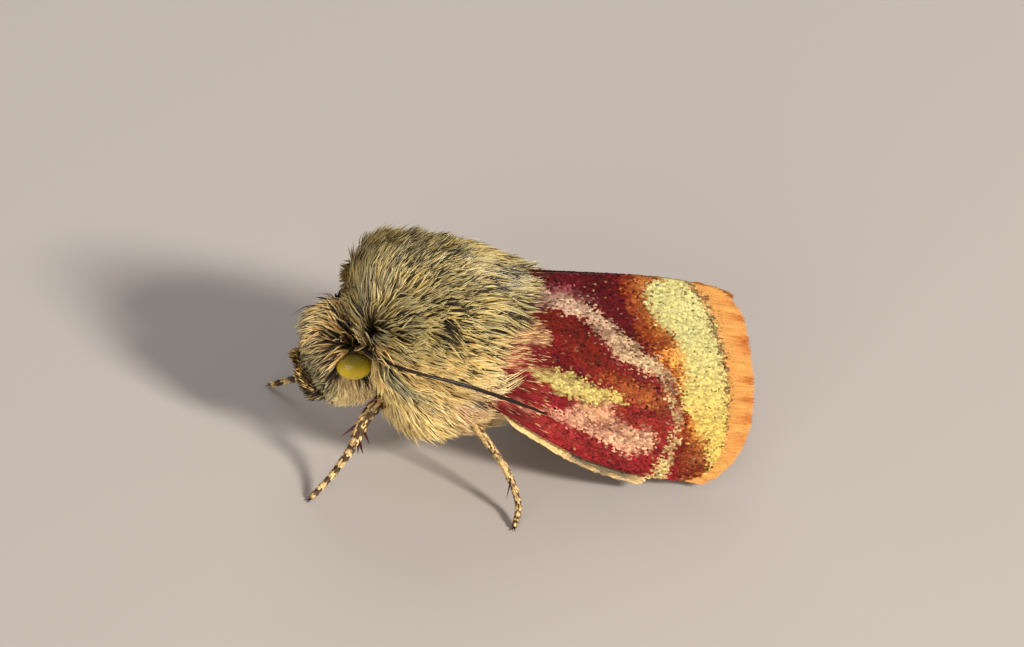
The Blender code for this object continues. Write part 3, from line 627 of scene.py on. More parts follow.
# %% [markdown]
# ## Wings
# Folded forewings lie like a roof, each a sheet ruled between its front edge and the ridge, and slightly
# bulged. A moth's wing shows no membrane: it is tiled with scales in rows, a tenth of a millimetre long,
# and each scale has one colour. So the marking is a function of the place on the wing, drawn as bands and
# strokes with ragged edges, and each scale asks it for its colour once. That gives the grain that paint
# on a smooth sheet never has.

# %% The forewing's shape
COSTA = [  # stops of the right wing's front edge
    (-2.45, 1.60, 3.25), (-1.50, 1.95, 2.75), (-0.30, 2.37, 2.05), (1.30, 2.64, 1.10), (3.10, 2.68, 0.44),
    (4.80, 2.56, 0.19),
]
DORSUM = [  # stops of its other edge, which lies along the ridge
    (-2.45, 1.35, 3.80), (-1.40, 0.90, 4.33), (-0.20, 0.26, 4.80), (1.70, 0.18, 4.70), (3.50, 0.18, 4.44),
    (5.12, 0.22, 3.93),
]
ROOF_BULGE = 0.075  # of the wing's width
MARGIN_BULGE = 0.5  # how far the outer edge is rounded
WING_LENGTH = 8.0
WING_WIDTH = 4.4
RIDGE_CLOSE = 0.15  # how far each wing's upper edge bends in to meet the other
VEIN_PLACES = [0.10, 0.21, 0.32, 0.43, 0.54, 0.66, 0.78, 0.91]
VEIN_HEIGHT = 0.022
VEIN_WIDTH = 0.06
VEIN_START = (0.1, 0.4)  # the share of the wing's length over which the veins rise
NUDGE = 1e-3  # the step that a slope is measured over


def wing_flat(u, v):
    """The ruled sheet between the two edges, for the right wing."""
    points = through(COSTA, u) * (1.0 - v)[..., None] + through(DORSUM, u) * v[..., None]
    points[..., 0] += MARGIN_BULGE * np.sin(np.pi * np.maximum(v, 0.0) ** 0.75) * u**3
    points[..., 1] -= RIDGE_CLOSE * smooth_step(0.8, 1.0, v) * smooth_step(0.2, 0.35, u)
    return points


def wing_place(u, v, side, depth=0.0):
    """Points of a forewing, with the way along it and the way out, a depth under its upper surface."""
    flat = wing_flat(u, v)
    ahead = np.minimum(u + NUDGE, 1.0)
    along = unit(wing_flat(ahead, v) - wing_flat(ahead - 2 * NUDGE, v))
    across = wing_flat(u, v + NUDGE) - wing_flat(u, v - NUDGE)
    out = unit(np.cross(across, along))
    out *= np.sign(out[..., 2:3])
    width = np.linalg.norm(through(DORSUM, u) - through(COSTA, u), axis=-1)
    vein = sum(np.exp(-(((v - place) * width / VEIN_WIDTH) ** 2)) for place in VEIN_PLACES) * VEIN_HEIGHT
    bulge = ROOF_BULGE * width * np.sin(np.pi * np.clip(v, 0.0, 1.0))
    lift = bulge + vein * smooth_step(*VEIN_START, u) - depth
    points = flat + out * lift[..., None]
    mirror = np.array((1.0, side, 1.0))
    return points * mirror, along * mirror, out * mirror


print("forewing from", COSTA[0], "to", DORSUM[-1], "mm")

# %% The forewing's markings
BAND_V = [0.0, 0.1, 0.2, 0.3, 0.36, 0.42, 0.5, 0.6, 0.7, 0.78, 0.86, 0.95, 1.0]
BAND_INNER = [0.95, 0.905, 0.885, 0.86, 0.825, 0.812, 0.812, 0.825, 0.80, 0.76, 0.725, 0.735, 0.80]
LINE_V = [0.0, 0.05, 0.2, 0.4, 0.6, 0.8, 0.88, 0.94, 1.0]
LINE_U = [0.965, 0.957, 0.947, 0.937, 0.927, 0.917, 0.907, 0.89, 0.862]
RUST_V = [0.0, 0.1, 0.2, 0.3, 0.4, 0.5, 0.56, 0.62, 0.7, 0.8, 1.0]
RUST_INNER = [0.84, 0.82, 0.82, 0.812, 0.805, 0.79, 0.775, 0.75, 0.71, 0.675, 0.665]
MARKING_SEED = 5
GROUND_COLOURS = (srgb(134, 28, 32), srgb(90, 12, 14))  # towards the front edge and towards the ridge
GROUND_TURN = (0.35, 0.75)  # of the wing's width, where one gives way to the other
BAND_COLOURS = (srgb(208, 198, 130), srgb(224, 190, 98))  # the outer band, at the front edge and at the ridge
RUST_COLOURS = (srgb(108, 24, 16), srgb(148, 66, 24), srgb(222, 156, 74))  # the dark to the bright rust
LINE_COLOUR = srgb(112, 82, 52)
LINE_WIDTHS = (0.0095, 0.004)  # of the wing's length, from the line's soft edge to its full colour
FRINGE_COLOURS = (srgb(218, 158, 88), srgb(184, 102, 46))
RAGGED_SIZE, RAGGED_REACH = 0.12, 0.075  # the fine waviness of the edges, in mm
DRIFT_SIZE, DRIFT_REACH = 0.45, 0.06  # the broad waviness
# Colours at the start and the end, softness in mm, cover, and stops of u, v and half width in mm.
STROKES = [
    ((214, 170, 124), (205, 158, 112), 0.16, 0.75,
     [(0.00, 0.62, 0.75), (0.14, 0.63, 0.60), (0.28, 0.625, 0.40), (0.38, 0.62, 0.30), (0.45, 0.62, 0.20)]),
    ((190, 104, 90), (166, 70, 66), 0.14, 0.6, [(0.22, 0.42, 0.16), (0.30, 0.41, 0.18), (0.38, 0.40, 0.10)]),
    ((150, 90, 62), (136, 44, 40), 0.14, 0.7,
     [(0.05, 0.25, 0.34), (0.18, 0.26, 0.26), (0.32, 0.26, 0.2), (0.46, 0.25, 0.1)]),
    ((142, 40, 38), (118, 22, 24), 0.06, 0.9,
     [(0.20, 0.53, 0.05), (0.30, 0.51, 0.10), (0.40, 0.515, 0.08), (0.48, 0.55, 0.12)]),
    ((212, 172, 150), (214, 190, 124), 0.12, 0.74,
     [(0.36, 0.91, 0.26), (0.44, 0.885, 0.22), (0.51, 0.85, 0.20), (0.57, 0.805, 0.19), (0.61, 0.75, 0.20),
      (0.632, 0.69, 0.24), (0.66, 0.62, 0.26), (0.71, 0.575, 0.24), (0.745, 0.55, 0.18), (0.77, 0.49, 0.12),
      (0.785, 0.42, 0.09), (0.797, 0.32, 0.075), (0.802, 0.20, 0.085), (0.797, 0.10, 0.11),
      (0.79, 0.02, 0.20)]),
    ((146, 72, 80), (166, 100, 104), 0.08, 0.7,
     [(0.50, 0.915, 0.11), (0.57, 0.905, 0.13), (0.60, 0.87, 0.06)]),
    ((98, 18, 26), (78, 10, 14), 0.06, 0.95,
     [(0.46, 0.98, 0.10), (0.55, 0.97, 0.14), (0.62, 0.93, 0.28), (0.645, 0.85, 0.24), (0.665, 0.77, 0.20),
      (0.70, 0.68, 0.08)]),
    ((92, 12, 12), (118, 36, 18), 0.09, 0.9,
     [(0.38, 0.77, 0.05), (0.44, 0.755, 0.13), (0.50, 0.735, 0.30), (0.535, 0.66, 0.36), (0.56, 0.57, 0.35),
      (0.61, 0.495, 0.24), (0.67, 0.45, 0.14)]),
    ((150, 66, 30), (192, 120, 56), 0.14, 0.65,
     [(0.60, 0.45, 0.08), (0.68, 0.43, 0.26), (0.735, 0.40, 0.27), (0.76, 0.34, 0.12)]),
    ((196, 178, 110), (216, 192, 106), 0.09, 0.88,
     [(0.415, 0.375, 0.12), (0.47, 0.37, 0.24), (0.54, 0.358, 0.34), (0.60, 0.352, 0.24),
      (0.655, 0.36, 0.13)]),
    ((208, 146, 116), (232, 182, 142), 0.16, 0.74,
     [(0.48, 0.16, 0.08), (0.56, 0.20, 0.26), (0.65, 0.19, 0.36), (0.725, 0.165, 0.26)]),
    ((214, 160, 118), (208, 150, 112), 0.08, 0.8, [(0.56, 0.25, 0.12), (0.63, 0.27, 0.13)]),
    ((150, 54, 38), (122, 22, 26), 0.07, 0.85,
     [(0.655, 0.295, 0.10), (0.71, 0.27, 0.13), (0.755, 0.275, 0.12), (0.778, 0.20, 0.09),
      (0.772, 0.11, 0.09), (0.745, 0.045, 0.11)]),
    ((158, 56, 48), (144, 36, 36), 0.07, 0.85,
     [(0.08, 0.06, 0.10), (0.30, 0.065, 0.12), (0.50, 0.07, 0.13), (0.68, 0.055, 0.10), (0.75, 0.03, 0.10)]),
    ((214, 160, 132), (204, 138, 112), 0.07, 0.8,
     [(0.10, 0.125, 0.07), (0.28, 0.115, 0.06), (0.45, 0.125, 0.06)]),
]
RUST_AFTER = 6  # the rust band is painted before this stroke

# %% Paint the markings
def beside(stops, place):
    """How far each place lies outside a stroke in mm, and the share of the stroke's length there."""
    nearest = np.full(len(place), 1e9)
    share = np.zeros(len(place))
    line = np.array(stops)
    spots = line[:, :2] * (WING_LENGTH, WING_WIDTH)
    for k in range(len(line) - 1):
        step = spots[k + 1] - spots[k]
        t = np.clip((place - spots[k]) @ step / (step @ step), 0.0, 1.0)
        away = np.linalg.norm(place - spots[k] - t[:, None] * step, axis=1)
        away -= line[k, 2] + t * (line[k + 1, 2] - line[k, 2])
        closer = away < nearest
        nearest = np.where(closer, away, nearest)
        share = np.where(closer, (k + t) / (len(line) - 1), share)
    return nearest, share


def rust_colour(spot_u, spot_v, rust, inner, worn):
    """The rust band: brighter towards the outer band, and along the wing's middle."""
    share = np.clip((spot_u - rust) / np.maximum(inner - rust, 0.02) + 0.5 * worn, 0.0, 1.0)
    middle = smooth_step(0.12, 0.3, spot_v) * (1.0 - 0.75 * smooth_step(0.66, 0.84, spot_v))
    deep, plain, bright = RUST_COLOURS
    return mixed(mixed(deep, plain, middle), bright, smooth_step(0.25, 0.95, share) * (0.15 + 0.85 * middle))


def edge_colour(colour, u, v, ragged, worn):
    """The colour given, with the fringe's shades beyond the fine line along the outer edge."""
    edge = u - np.interp(v, LINE_V, LINE_U)
    wavy = edge + 0.003 * ragged[:, 0]
    outermost = smooth_step(0.03, 0.065, wavy + 0.014 * worn) * smooth_step(0.05, 0.3, v)
    colour = mixed(colour, mixed(*FRINGE_COLOURS, outermost), smooth_step(-0.004, 0.004, wavy))
    line = smooth_step(*LINE_WIDTHS, np.abs(edge + 0.0015 * ragged[:, 1])) * smooth_step(0.0, 0.1, v)
    return np.clip(mixed(colour, LINE_COLOUR, line * 0.85), 0.0, 1.0)


def wing_colour(u, v):
    """The colour of the forewing's upper side at each place, with ragged edges."""
    seed = MARKING_SEED
    place = np.stack([u * WING_LENGTH, v * WING_WIDTH], axis=1)
    ragged = np.stack([noise(place, RAGGED_SIZE, seed), noise(place, RAGGED_SIZE, seed + 1)], axis=1)
    drift = np.stack([noise(place, DRIFT_SIZE, seed + 2), noise(place, DRIFT_SIZE, seed + 3)], axis=1)
    spot = place + RAGGED_REACH * ragged + DRIFT_REACH * drift
    near_root = 1.0 - smooth_step(0.3, 0.55, u)
    spot[:, 1] += 0.10 * near_root * noise(place * (0.35, 1.0), 0.11, seed + 4)
    spot_u, spot_v = spot[:, 0] / WING_LENGTH, spot[:, 1] / WING_WIDTH
    worn = noise(place * (0.5, 1.0), 0.09, seed + 5) * 0.7 + noise(place * (0.5, 1.0), 0.3, seed + 6) * 0.5
    inner = np.interp(spot_v, BAND_V, BAND_INNER)
    rust = np.interp(spot_v, RUST_V, RUST_INNER)
    colour = mixed(*GROUND_COLOURS, smooth_step(*GROUND_TURN, v + 0.15 * drift[:, 0]))
    colour *= 1.0 + 0.3 * worn[:, None]
    for number, (first, last, soft, cover, stops) in enumerate(STROKES):
        if number == RUST_AFTER:
            rusty = rust_colour(spot_u, spot_v, rust, inner, worn)
            colour = mixed(colour, rusty, smooth_step(-0.012, 0.012, spot_u - rust))
        away, t = beside(stops, spot)
        paint = srgb(*first) + (srgb(*last) - srgb(*first)) * t[:, None]
        laid = np.clip(cover + (1.0 - cover) * 2.2 * worn, 0.1, 1.0)
        colour = mixed(colour, paint, smooth_step(soft * 0.5, -soft * 0.5, away) * laid)
    colour *= 1.0 + 0.35 * np.clip(worn, -1.0, 1.0)[:, None]
    band = mixed(*BAND_COLOURS, smooth_step(0.8, 0.2, v)) * (1.0 + 0.08 * worn[:, None])
    colour = mixed(colour, band, smooth_step(-0.008, 0.008, spot_u - inner + 0.006 * worn))
    return edge_colour(colour, u, v, ragged, worn)


print("strokes on the forewing:", len(STROKES))

# %% The forewing's membrane
EDGE_V = [-0.02, 0.0, 0.02, 0.05, 0.1, 0.5, 0.9, 0.97, 1.0]
EDGE_U = [0.86, 0.90, 0.93, 0.95, 0.96, 0.962, 0.955, 0.935, 0.90]
MEMBRANE_DEPTH = 0.01  # under the wing's upper surface, and so are the next two
SCALE_DEPTH = 0.012
UNDER_DEPTH = 0.043
MEMBRANE_THICK = 0.035
MEMBRANE_COLUMNS = 110
MEMBRANE_ROWS = 60
# The membrane under the scales takes the marking's colour darkened by this share, a painted shade.
MEMBRANE_SHADE = 0.75
MAP_HALF = 0.46  # the height of the map that one side of a sheet takes
SCALES_MAP = 0.54  # the same for the scales
ROW_STEP = 0.043
SCALE_LENGTH = 0.105
SCALE_WIDTH = 0.056
UNDER_STEP = 0.11
SWING = 0.1  # how far a scale turns from the way along the wing
INNER_OUTER = 0.54  # where the inner piece of the scales ends, of the wing's length
FIRST_ROW = 0.04
MOSAIC = 0.065  # how far a scale may take its colour from, in mm
SCALE_BRIGHTNESS = (0.52, 1.16)
ODD_SCALES = 0.03
DARK_FLECKS = 0.03
FLECK_SHADE = 0.3


def shell_faces(columns, rows):
    """Faces of a closed sheet of two grids, the upper first."""
    grid = np.arange((columns + 1) * (rows + 1)).reshape(columns + 1, rows + 1)
    quads = np.stack([grid[:-1, :-1], grid[1:, :-1], grid[1:, 1:], grid[:-1, 1:]], axis=-1).reshape(-1, 4)
    under = quads[:, ::-1] + grid.size
    rim = np.concatenate([grid[:, 0], grid[-1, 1:], grid[-2::-1, -1], grid[0, -2:0:-1]])
    nxt = np.roll(rim, -1)
    edge = np.stack([nxt, rim, rim + grid.size, nxt + grid.size], axis=1)
    return np.concatenate([quads, under, edge])


def grid_shares(columns, rows, start=0.0):
    """The shares along and across a sheet at each point of its grid."""
    u, v = np.meshgrid(np.linspace(start, 1.0, columns + 1), np.linspace(0.0, 1.0, rows + 1), indexing="ij")
    return u.ravel(), v.ravel()


def sheet_piece(name, slot, side, faces, top, bottom, colour, u, v):
    """A thin closed sheet between an upper and an under grid, each with its own half of the map."""
    if side > 0:
        faces = faces[:, ::-1]
    points, colours = np.vstack([top, bottom]), np.vstack([colour, colour])
    uv = on_map(u, v, height=MAP_HALF)
    uv = np.vstack([uv, uv + (0.0, 0.5)])
    return mesh_piece(name, points, [faces], MEMBRANE, slot, colours, uv, smooth=True)


def membrane(name, side):
    u, v = grid_shares(MEMBRANE_COLUMNS, MEMBRANE_ROWS, 0.02)
    u = u * np.interp(v, EDGE_V, EDGE_U)
    top, _, _ = wing_place(u, v, side, MEMBRANE_DEPTH)
    bottom, _, _ = wing_place(u, v, side, MEMBRANE_DEPTH + MEMBRANE_THICK)
    faces = shell_faces(MEMBRANE_COLUMNS, MEMBRANE_ROWS)
    return sheet_piece(name, "forewing", side, faces, top, bottom, wing_colour(u, v) * MEMBRANE_SHADE, u, v)


# %% Tile the forewings
def wing_rows(step, draw):
    """Places of scales in staggered rows, from the root of the wing to its edge."""
    made = []
    for row, start in enumerate(np.arange(FIRST_ROW * WING_LENGTH, WING_LENGTH, step)):
        u = start / WING_LENGTH
        width = np.linalg.norm(through(DORSUM, np.array(u)) - through(COSTA, np.array(u)))
        count = int(width / step)
        v = (np.arange(count) + 0.5 * (row % 2) + draw.uniform(-0.3, 0.3, count)) / count
        u = u + draw.uniform(-0.3, 0.3, count) * step / WING_LENGTH
        room = 0.6 * SCALE_LENGTH / WING_LENGTH
        inside = (u + room < np.interp(v, EDGE_V, EDGE_U)) & (v > 0.003) & (v < 0.997)
        made.append(np.stack([u[inside], v[inside]], axis=1))
    return np.concatenate(made)


def swung(along, out, spread, draw):
    """Ways along a surface, each turned a little to one side."""
    return unit(along + np.cross(out, along) * draw.normal(0.0, spread, len(out))[:, None])


def scatter_colour(u, v, draw):
    """The marking's colour, picked a little way off and varied in brightness, one for each scale."""
    off = draw.normal(0.0, MOSAIC, (len(u), 2)) / (WING_LENGTH, WING_WIDTH)
    colour = wing_colour(np.clip(u + off[:, 0], 0.0, 1.0), np.clip(v + off[:, 1], 0.0, 1.0))
    colour *= draw.uniform(*SCALE_BRIGHTNESS, (len(u), 1))
    colour[draw.uniform(0.0, 1.0, len(u)) < DARK_FLECKS] *= FLECK_SHADE
    far = draw.permutation(len(u))
    odd = draw.uniform(0.0, 1.0, len(u)) < ODD_SCALES
    colour[odd] = 0.7 * colour[odd] + 0.3 * colour[far[odd]]
    return colour


def upper_scales(name, side, seed, first, last):
    """The upper scales between two places along the wing, as a piece."""
    draw = np.random.default_rng(seed)
    u, v = wing_rows(ROW_STEP, draw).T
    within = (u >= first) & (u < last)
    u, v = u[within], v[within]
    roots, along, out = wing_place(u, v, side, SCALE_DEPTH)
    along = swung(along, out, SWING, draw)
    lengths = SCALE_LENGTH * draw.uniform(0.85, 1.25, len(u))
    widths = SCALE_WIDTH * draw.uniform(0.8, 1.2, len(u))
    tilt = draw.uniform(0.12, 0.32, len(u))
    colour = scatter_colour(u + 0.5 * lengths / WING_LENGTH, v, draw)
    patches = on_map(u, v, height=SCALES_MAP)
    scale_piece(name, "forewing", roots, along, out, lengths, widths, tilt, colour, patches)


# %% Tile their under sides
UNDER_SEED = 21
UNDER_PALE = srgb(214, 182, 138)
UNDER_PINK = srgb(196, 120, 104)
UNDER_GREY = srgb(120, 104, 88)


def under_colour(u, v):
    """The under side: buff, pink towards the front edge and greyer in the middle."""
    place = np.stack([u * WING_LENGTH, v * WING_WIDTH], axis=1)
    ragged = noise(place, 0.3, UNDER_SEED)
    colour = mixed(UNDER_PALE, UNDER_PINK, smooth_step(0.35, 0.0, v + 0.1 * ragged))
    middle = smooth_step(0.35, 0.0, np.hypot(u - 0.5, (v - 0.45) * 0.6) + 0.05 * ragged)
    return mixed(colour, UNDER_GREY, middle * 0.8)


def lower_scales(name, side, seed):
    """The under side's scales, larger and in wider rows."""
    draw = np.random.default_rng(seed)
    u, v = wing_rows(UNDER_STEP, draw).T
    roots, along, out = wing_place(u, v, side, UNDER_DEPTH)
    along = swung(along, out, SWING, draw)
    lengths = SCALE_LENGTH * draw.uniform(1.0, 1.4, len(u))
    widths = SCALE_WIDTH * draw.uniform(1.1, 1.5, len(u))
    colour = under_colour(u, v) * draw.uniform(0.8, 1.2, (len(u), 1))
    tilt = draw.uniform(0.1, 0.25, len(u))
    patches = on_map(u, v, height=SCALES_MAP)
    scale_piece(name, "forewing", roots, along, -out, lengths, widths, tilt, colour, patches)


# %% [markdown]
# ## Fringe and wing-root hair
# Along the outer edge the scales grow into a fringe of long narrow ones in two shades. Near the root they
# turn to hairs, which carry the coat's cream out over the crimson of the wing and stand up under the coat's
# free edge, where a gap would show from behind. Both are the hair form of the coat, laid on the wing's own
# surface.

# %% Fringe
FRINGE_V = [0.0, 0.03, 0.08, 0.16, 0.30, 0.55, 0.75, 0.88, 0.94, 0.98, 1.0]
FRINGE_U = [0.930, 0.958, 0.982, 0.998, 1.008, 1.012, 1.018, 1.024, 1.012, 0.988, 0.962]
TUCKED = 0.50  # how far the upper corner of the right wing's fringe lies back under the left one's, in mm
FRINGE_ROWS = 3
FRINGE_COUNT = 620
FRINGE_WIDTHS = (0.045, 0.07)
# the painted shade at the roots of the fringe's hairs
FRINGE_ROOT_SHADE = 0.85
ROOT_HAIRS = 3600
ROOT_HAIR_WIDTHS = (0.03, 0.05)
# the painted shade at the roots of the hairs on the wing's root
ROOT_HAIR_SHADE = 0.7
ROOT_HAIR_PALE = srgb(236, 200, 142)
SHOULDER_LIFT = 0.5  # how high the hairs of the wing's root stand under the coat's free edge, in mm
SHOULDER_END = (0.2, 0.08)  # of the wing's length, where they begin and are highest
FOREWING_SEEDS = {"left": 31, "right": 32}


def on_wing(u, v, side, reach, lift, bend):
    """Paths along the wing from a place, rising a little, and past its edge straight on."""
    root, along, out = wing_place(u, v, side)
    paths = []
    for share in np.linspace(0.0, 1.0, STATIONS):
        forward = along * (reach * share)[:, None]
        upward = out * (lift * share**1.5)[:, None]
        paths.append(root + forward + upward + np.cross(out, along) * (bend * share**2)[:, None])
    return np.stack(paths, axis=1), np.repeat(out[:, None], STATIONS, axis=1)


def fringe(name, side, seed):
    draw = np.random.default_rng(seed)
    total = FRINGE_ROWS * FRINGE_COUNT
    v = (np.arange(total) % FRINGE_COUNT + draw.uniform(0.0, 1.0, total)) / FRINGE_COUNT
    row = np.arange(total) // FRINGE_COUNT
    edge = np.interp(v, EDGE_V, EDGE_U)
    beyond = (np.interp(v, FRINGE_V, FRINGE_U) - edge) * WING_LENGTH
    beyond -= TUCKED * smooth_step(0.74, 0.92, v) * (side > 0)
    reach = beyond * draw.uniform(0.88, 1.04, total) + (0.06 + 0.03 * row)
    corner = 0.10 * (smooth_step(0.08, 0.0, v) - 0.4 * smooth_step(0.92, 1.0, v)) * side
    lift = 0.01 + 0.012 * row + draw.normal(0.0, 0.012, total)
    bend = corner + draw.normal(0.0, 0.02, total)
    paths, outs = on_wing(edge - (0.004 + 0.010 * row), v, side, reach, lift, bend)
    place = np.stack([v * WING_WIDTH, np.zeros(total)], axis=1)
    shade = smooth_step(-0.4, 0.6, noise(place, 0.16, seed)) * smooth_step(0.05, 0.3, v)
    bright = draw.uniform(0.8, 1.2, (total, 1))
    across = 0.03 + 0.9 * row / FRINGE_ROWS + 0.2 * draw.uniform(0.0, 1.0, total)
    patches = np.stack([across, 0.02 + 0.95 * v], axis=1)
    hair_piece(name, "forewing", SCALES, paths, outs, draw.uniform(*FRINGE_WIDTHS, total),
               FRINGE_COLOURS[0] * bright, mixed(*FRINGE_COLOURS, shade) * bright, FRINGE_ROOT_SHADE, patches)


# %% Root hairs, and both forewings
def root_hair(name, side, seed):
    """Hairs over the wing's root: the marking's colours, with pale ones among them."""
    draw = np.random.default_rng(seed)
    u = 0.04 + 0.41 * draw.uniform(0.0, 1.0, ROOT_HAIRS) ** 0.7
    v = draw.uniform(0.01, 0.99, ROOT_HAIRS)
    thin = smooth_step(0.45, 0.2, u)
    streak = smooth_step(0.3, 0.45, v) * smooth_step(0.85, 0.7, v)
    shoulder = smooth_step(*SHOULDER_END, u)
    reach = (0.35 + 0.5 * thin) * draw.uniform(0.7, 1.2, ROOT_HAIRS)
    lift = 0.05 + (0.07 * thin + SHOULDER_LIFT * shoulder) * draw.uniform(0.3, 1.0, ROOT_HAIRS)
    paths, outs = on_wing(u, v, side, reach, lift, draw.normal(0.0, 0.03, ROOT_HAIRS))
    colour = scatter_colour(np.clip(u + 0.5 * reach / WING_LENGTH, 0, 1), v, draw)
    pale = ROOT_HAIR_PALE * draw.uniform(0.6, 1.05, (ROOT_HAIRS, 1))
    picked = draw.uniform(0, 1, ROOT_HAIRS) < 0.07 + 0.8 * thin * streak + 0.7 * shoulder
    colour = mixed(colour, pale, picked * 0.85)
    hair_piece(name, "forewing", HAIR, paths, outs, draw.uniform(*ROOT_HAIR_WIDTHS, ROOT_HAIRS), colour,
               colour * 1.15, ROOT_HAIR_SHADE, on_map(u * 2, v, 0.9, 0.9))


for side_name, side in SIDES.items():
    seed = FOREWING_SEEDS[side_name]
    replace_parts(membrane(f"forewing_membrane_{side_name}", side), f"forewing_{side_name}")
    upper_scales(f"forewing_inner_scales_{side_name}", side, seed, 0.0, INNER_OUTER)
    upper_scales(f"forewing_outer_scales_{side_name}", side, seed, INNER_OUTER, 1.0)
    lower_scales(f"forewing_under_scales_{side_name}", side, seed + 10)
    fringe(f"forewing_fringe_{side_name}", side, seed + 20)
    root_hair(f"forewing_root_hair_{side_name}", side, seed + 30)

# %% [markdown]
# ## The skin
# Under the coat lies one skin for head, thorax, abdomen and palps. It is a row of rounded forms that run
# into one another, remeshed to a single closed surface. Almost nothing of it shows, but it stops the eye
# where the hairs part, and it is dark, so that a gap reads as shade.

# %% The body's sizes
SKIN_VOXEL = 0.00009
SKIN_EASING = 4  # rounds of smoothing
# The skin takes the coat's colour darkened to this share, a painted shade for the gaps in the coat.
SKIN_SHADE = 0.12
SKIN_FIT = 0.97  # of the head's half sizes
BODY_BALLS = [  # centre, half sizes and rings of the thorax, the neck, the head and the waist
    ((-2.6, 0, 3.2), (1.45, 1.9, 1.9), 40),
    ((-3.75, 0, 2.95), (0.8, 0.75, 0.8), 24),
    (HEAD_CENTRE, HEAD_HALF * SKIN_FIT, 30),
    ((-0.8, 0, 2.3), (0.9, 1.0, 1.0), 24),
]
ABDOMEN_START = np.array((-0.453, 0.0, 2.0))
ABDOMEN_LEAN = math.radians(6.5)
ABDOMEN_WAY = np.array((math.cos(ABDOMEN_LEAN), 0.0, -math.sin(ABDOMEN_LEAN)))
ABDOMEN_LENGTH = 5.1
ABDOMEN_RADIUS = 0.80
ABDOMEN_RINGS = 7
PALP = [  # stops of the right palp, each with its radius
    (-4.62, 0.38, 2.02, 0.20), (-4.92, 0.43, 2.04, 0.20), (-5.16, 0.43, 2.24, 0.15),
    (-5.36, 0.40, 2.46, 0.05),
]

# %% Balls and tubes
def tube_faces(stations, sides):
    """Faces of a closed tube of rings: its quads, and the fans to a last point at each end."""
    ring = np.arange(stations * sides).reshape(stations, sides)
    nxt = np.roll(ring, -1, axis=1)
    quads = np.stack([ring[:-1], ring[1:], nxt[1:], nxt[:-1]], axis=-1).reshape(-1, 4)
    first, last = stations * sides, stations * sides + 1
    caps = np.concatenate([np.stack([ring[0], nxt[0], np.full(sides, first)], axis=1),
                           np.stack([nxt[-1], ring[-1], np.full(sides, last)], axis=1)])
    return [quads, caps]


def ball(centre, half, rings):
    """A closed ellipsoid as points and faces."""
    lat = np.linspace(0.0, np.pi, rings + 1)[1:-1]
    lon = np.linspace(0.0, 2 * np.pi, 2 * rings, endpoint=False)
    body = np.stack(np.broadcast_arrays(np.cos(lat)[:, None], np.sin(lat)[:, None] * np.cos(lon)[None],
                                        np.sin(lat)[:, None] * np.sin(lon)[None]), axis=-1).reshape(-1, 3)
    points = np.vstack([body, (1.0, 0.0, 0.0), (-1.0, 0.0, 0.0)]) * half
    return points + centre, tube_faces(len(lat), len(lon))


def joined(parts):
    """The points and faces of several closed forms as one, for a single mesh."""
    points, quads, caps, start = [], [], [], 0
    for part_points, (part_quads, part_caps) in parts:
        points.append(part_points)
        quads.append(part_quads + start)
        caps.append(part_caps + start)
        start += len(part_points)
    return np.vstack(points), [np.concatenate(quads), np.concatenate(caps)]


# %% Melt balls into a skin
def abdomen_radius(share):
    return ABDOMEN_RADIUS * np.sqrt(np.maximum(1.0 - 0.8 * share**2.2, 0.05))


def abdomen_axis(share):
    return ABDOMEN_START + share[..., None] * ABDOMEN_LENGTH * ABDOMEN_WAY


def skin_parts():
    """Overlapping balls: thorax, neck, head, abdomen and palps."""
    parts = [ball(np.array(centre), np.array(half), rings) for centre, half, rings in BODY_BALLS]
    for share in np.linspace(0.0, 0.97, 26):
        ring = (share * ABDOMEN_RINGS) % 1.0
        radius = float(abdomen_radius(np.array(share))) * (0.93 + 0.07 * math.sin(math.pi * ring))
        parts.append(ball(abdomen_axis(np.array(share)), np.array((0.22, radius, radius)), 16))
    for side in SIDES.values():
        for share in np.linspace(0.0, 1.0, 12):
            x, y, z, r = through(PALP, np.array(share))
            parts.append(ball(np.array((x, y * side, z)), np.full(3, r * 0.8), 8))
    return parts


def build_skin():
    raw = mesh_piece("body_skin", *joined(skin_parts()), FLESH, "thorax_coat")
    melt = raw.modifiers.new("melt", "REMESH")
    melt.mode = "VOXEL"
    melt.voxel_size = SKIN_VOXEL
    ease = raw.modifiers.new("ease", "SMOOTH")
    ease.iterations = SKIN_EASING
    whole = bpy.data.meshes.new_from_object(raw.evaluated_get(bpy.context.evaluated_depsgraph_get()))
    raw.modifiers.clear()
    raw.data = whole
    whole.materials.clear()
    whole.materials.append(FLESH)
    co = np.zeros(len(whole.vertices) * 3, np.float32)
    whole.vertices.foreach_get("co", co)
    co = co.reshape(-1, 3) / MM - SHIFT
    give_colours(whole, skin_colour(co) * SKIN_SHADE)
    whole.polygons.foreach_set("use_smooth", np.full(len(whole.polygons), True))
    print("body_skin:", len(whole.polygons), "faces after the remesh")
    return raw


# %% [markdown]
# ## The coat's colours
# The back is olive with dark hairs between the pale ones, and the coat is brown by its partings. A golden
# band runs back under the feeler. The hair below it turns dark, partly dark hair and partly painted shade
# under the band, and then cream on the chest, and reddish by the wing's root. The cheeks are cream too,
# and paler still, which is painted light. One function gives the colour for any place on the body, and
# skin and hairs both ask it.

# %% Colours of the coat
OLIVE = srgb(188, 154, 72)
OLIVE_DULL = srgb(124, 98, 48)
GOLD = srgb(236, 190, 104)
AMBER = srgb(255, 206, 118)
CREAM = srgb(255, 212, 122)
BROWN = srgb(88, 60, 30)
DUSK = srgb(54, 43, 30)
WING_ROOT_RED = srgb(184, 100, 72)
DARK = srgb(40, 32, 18)
TAN = srgb(224, 172, 96)
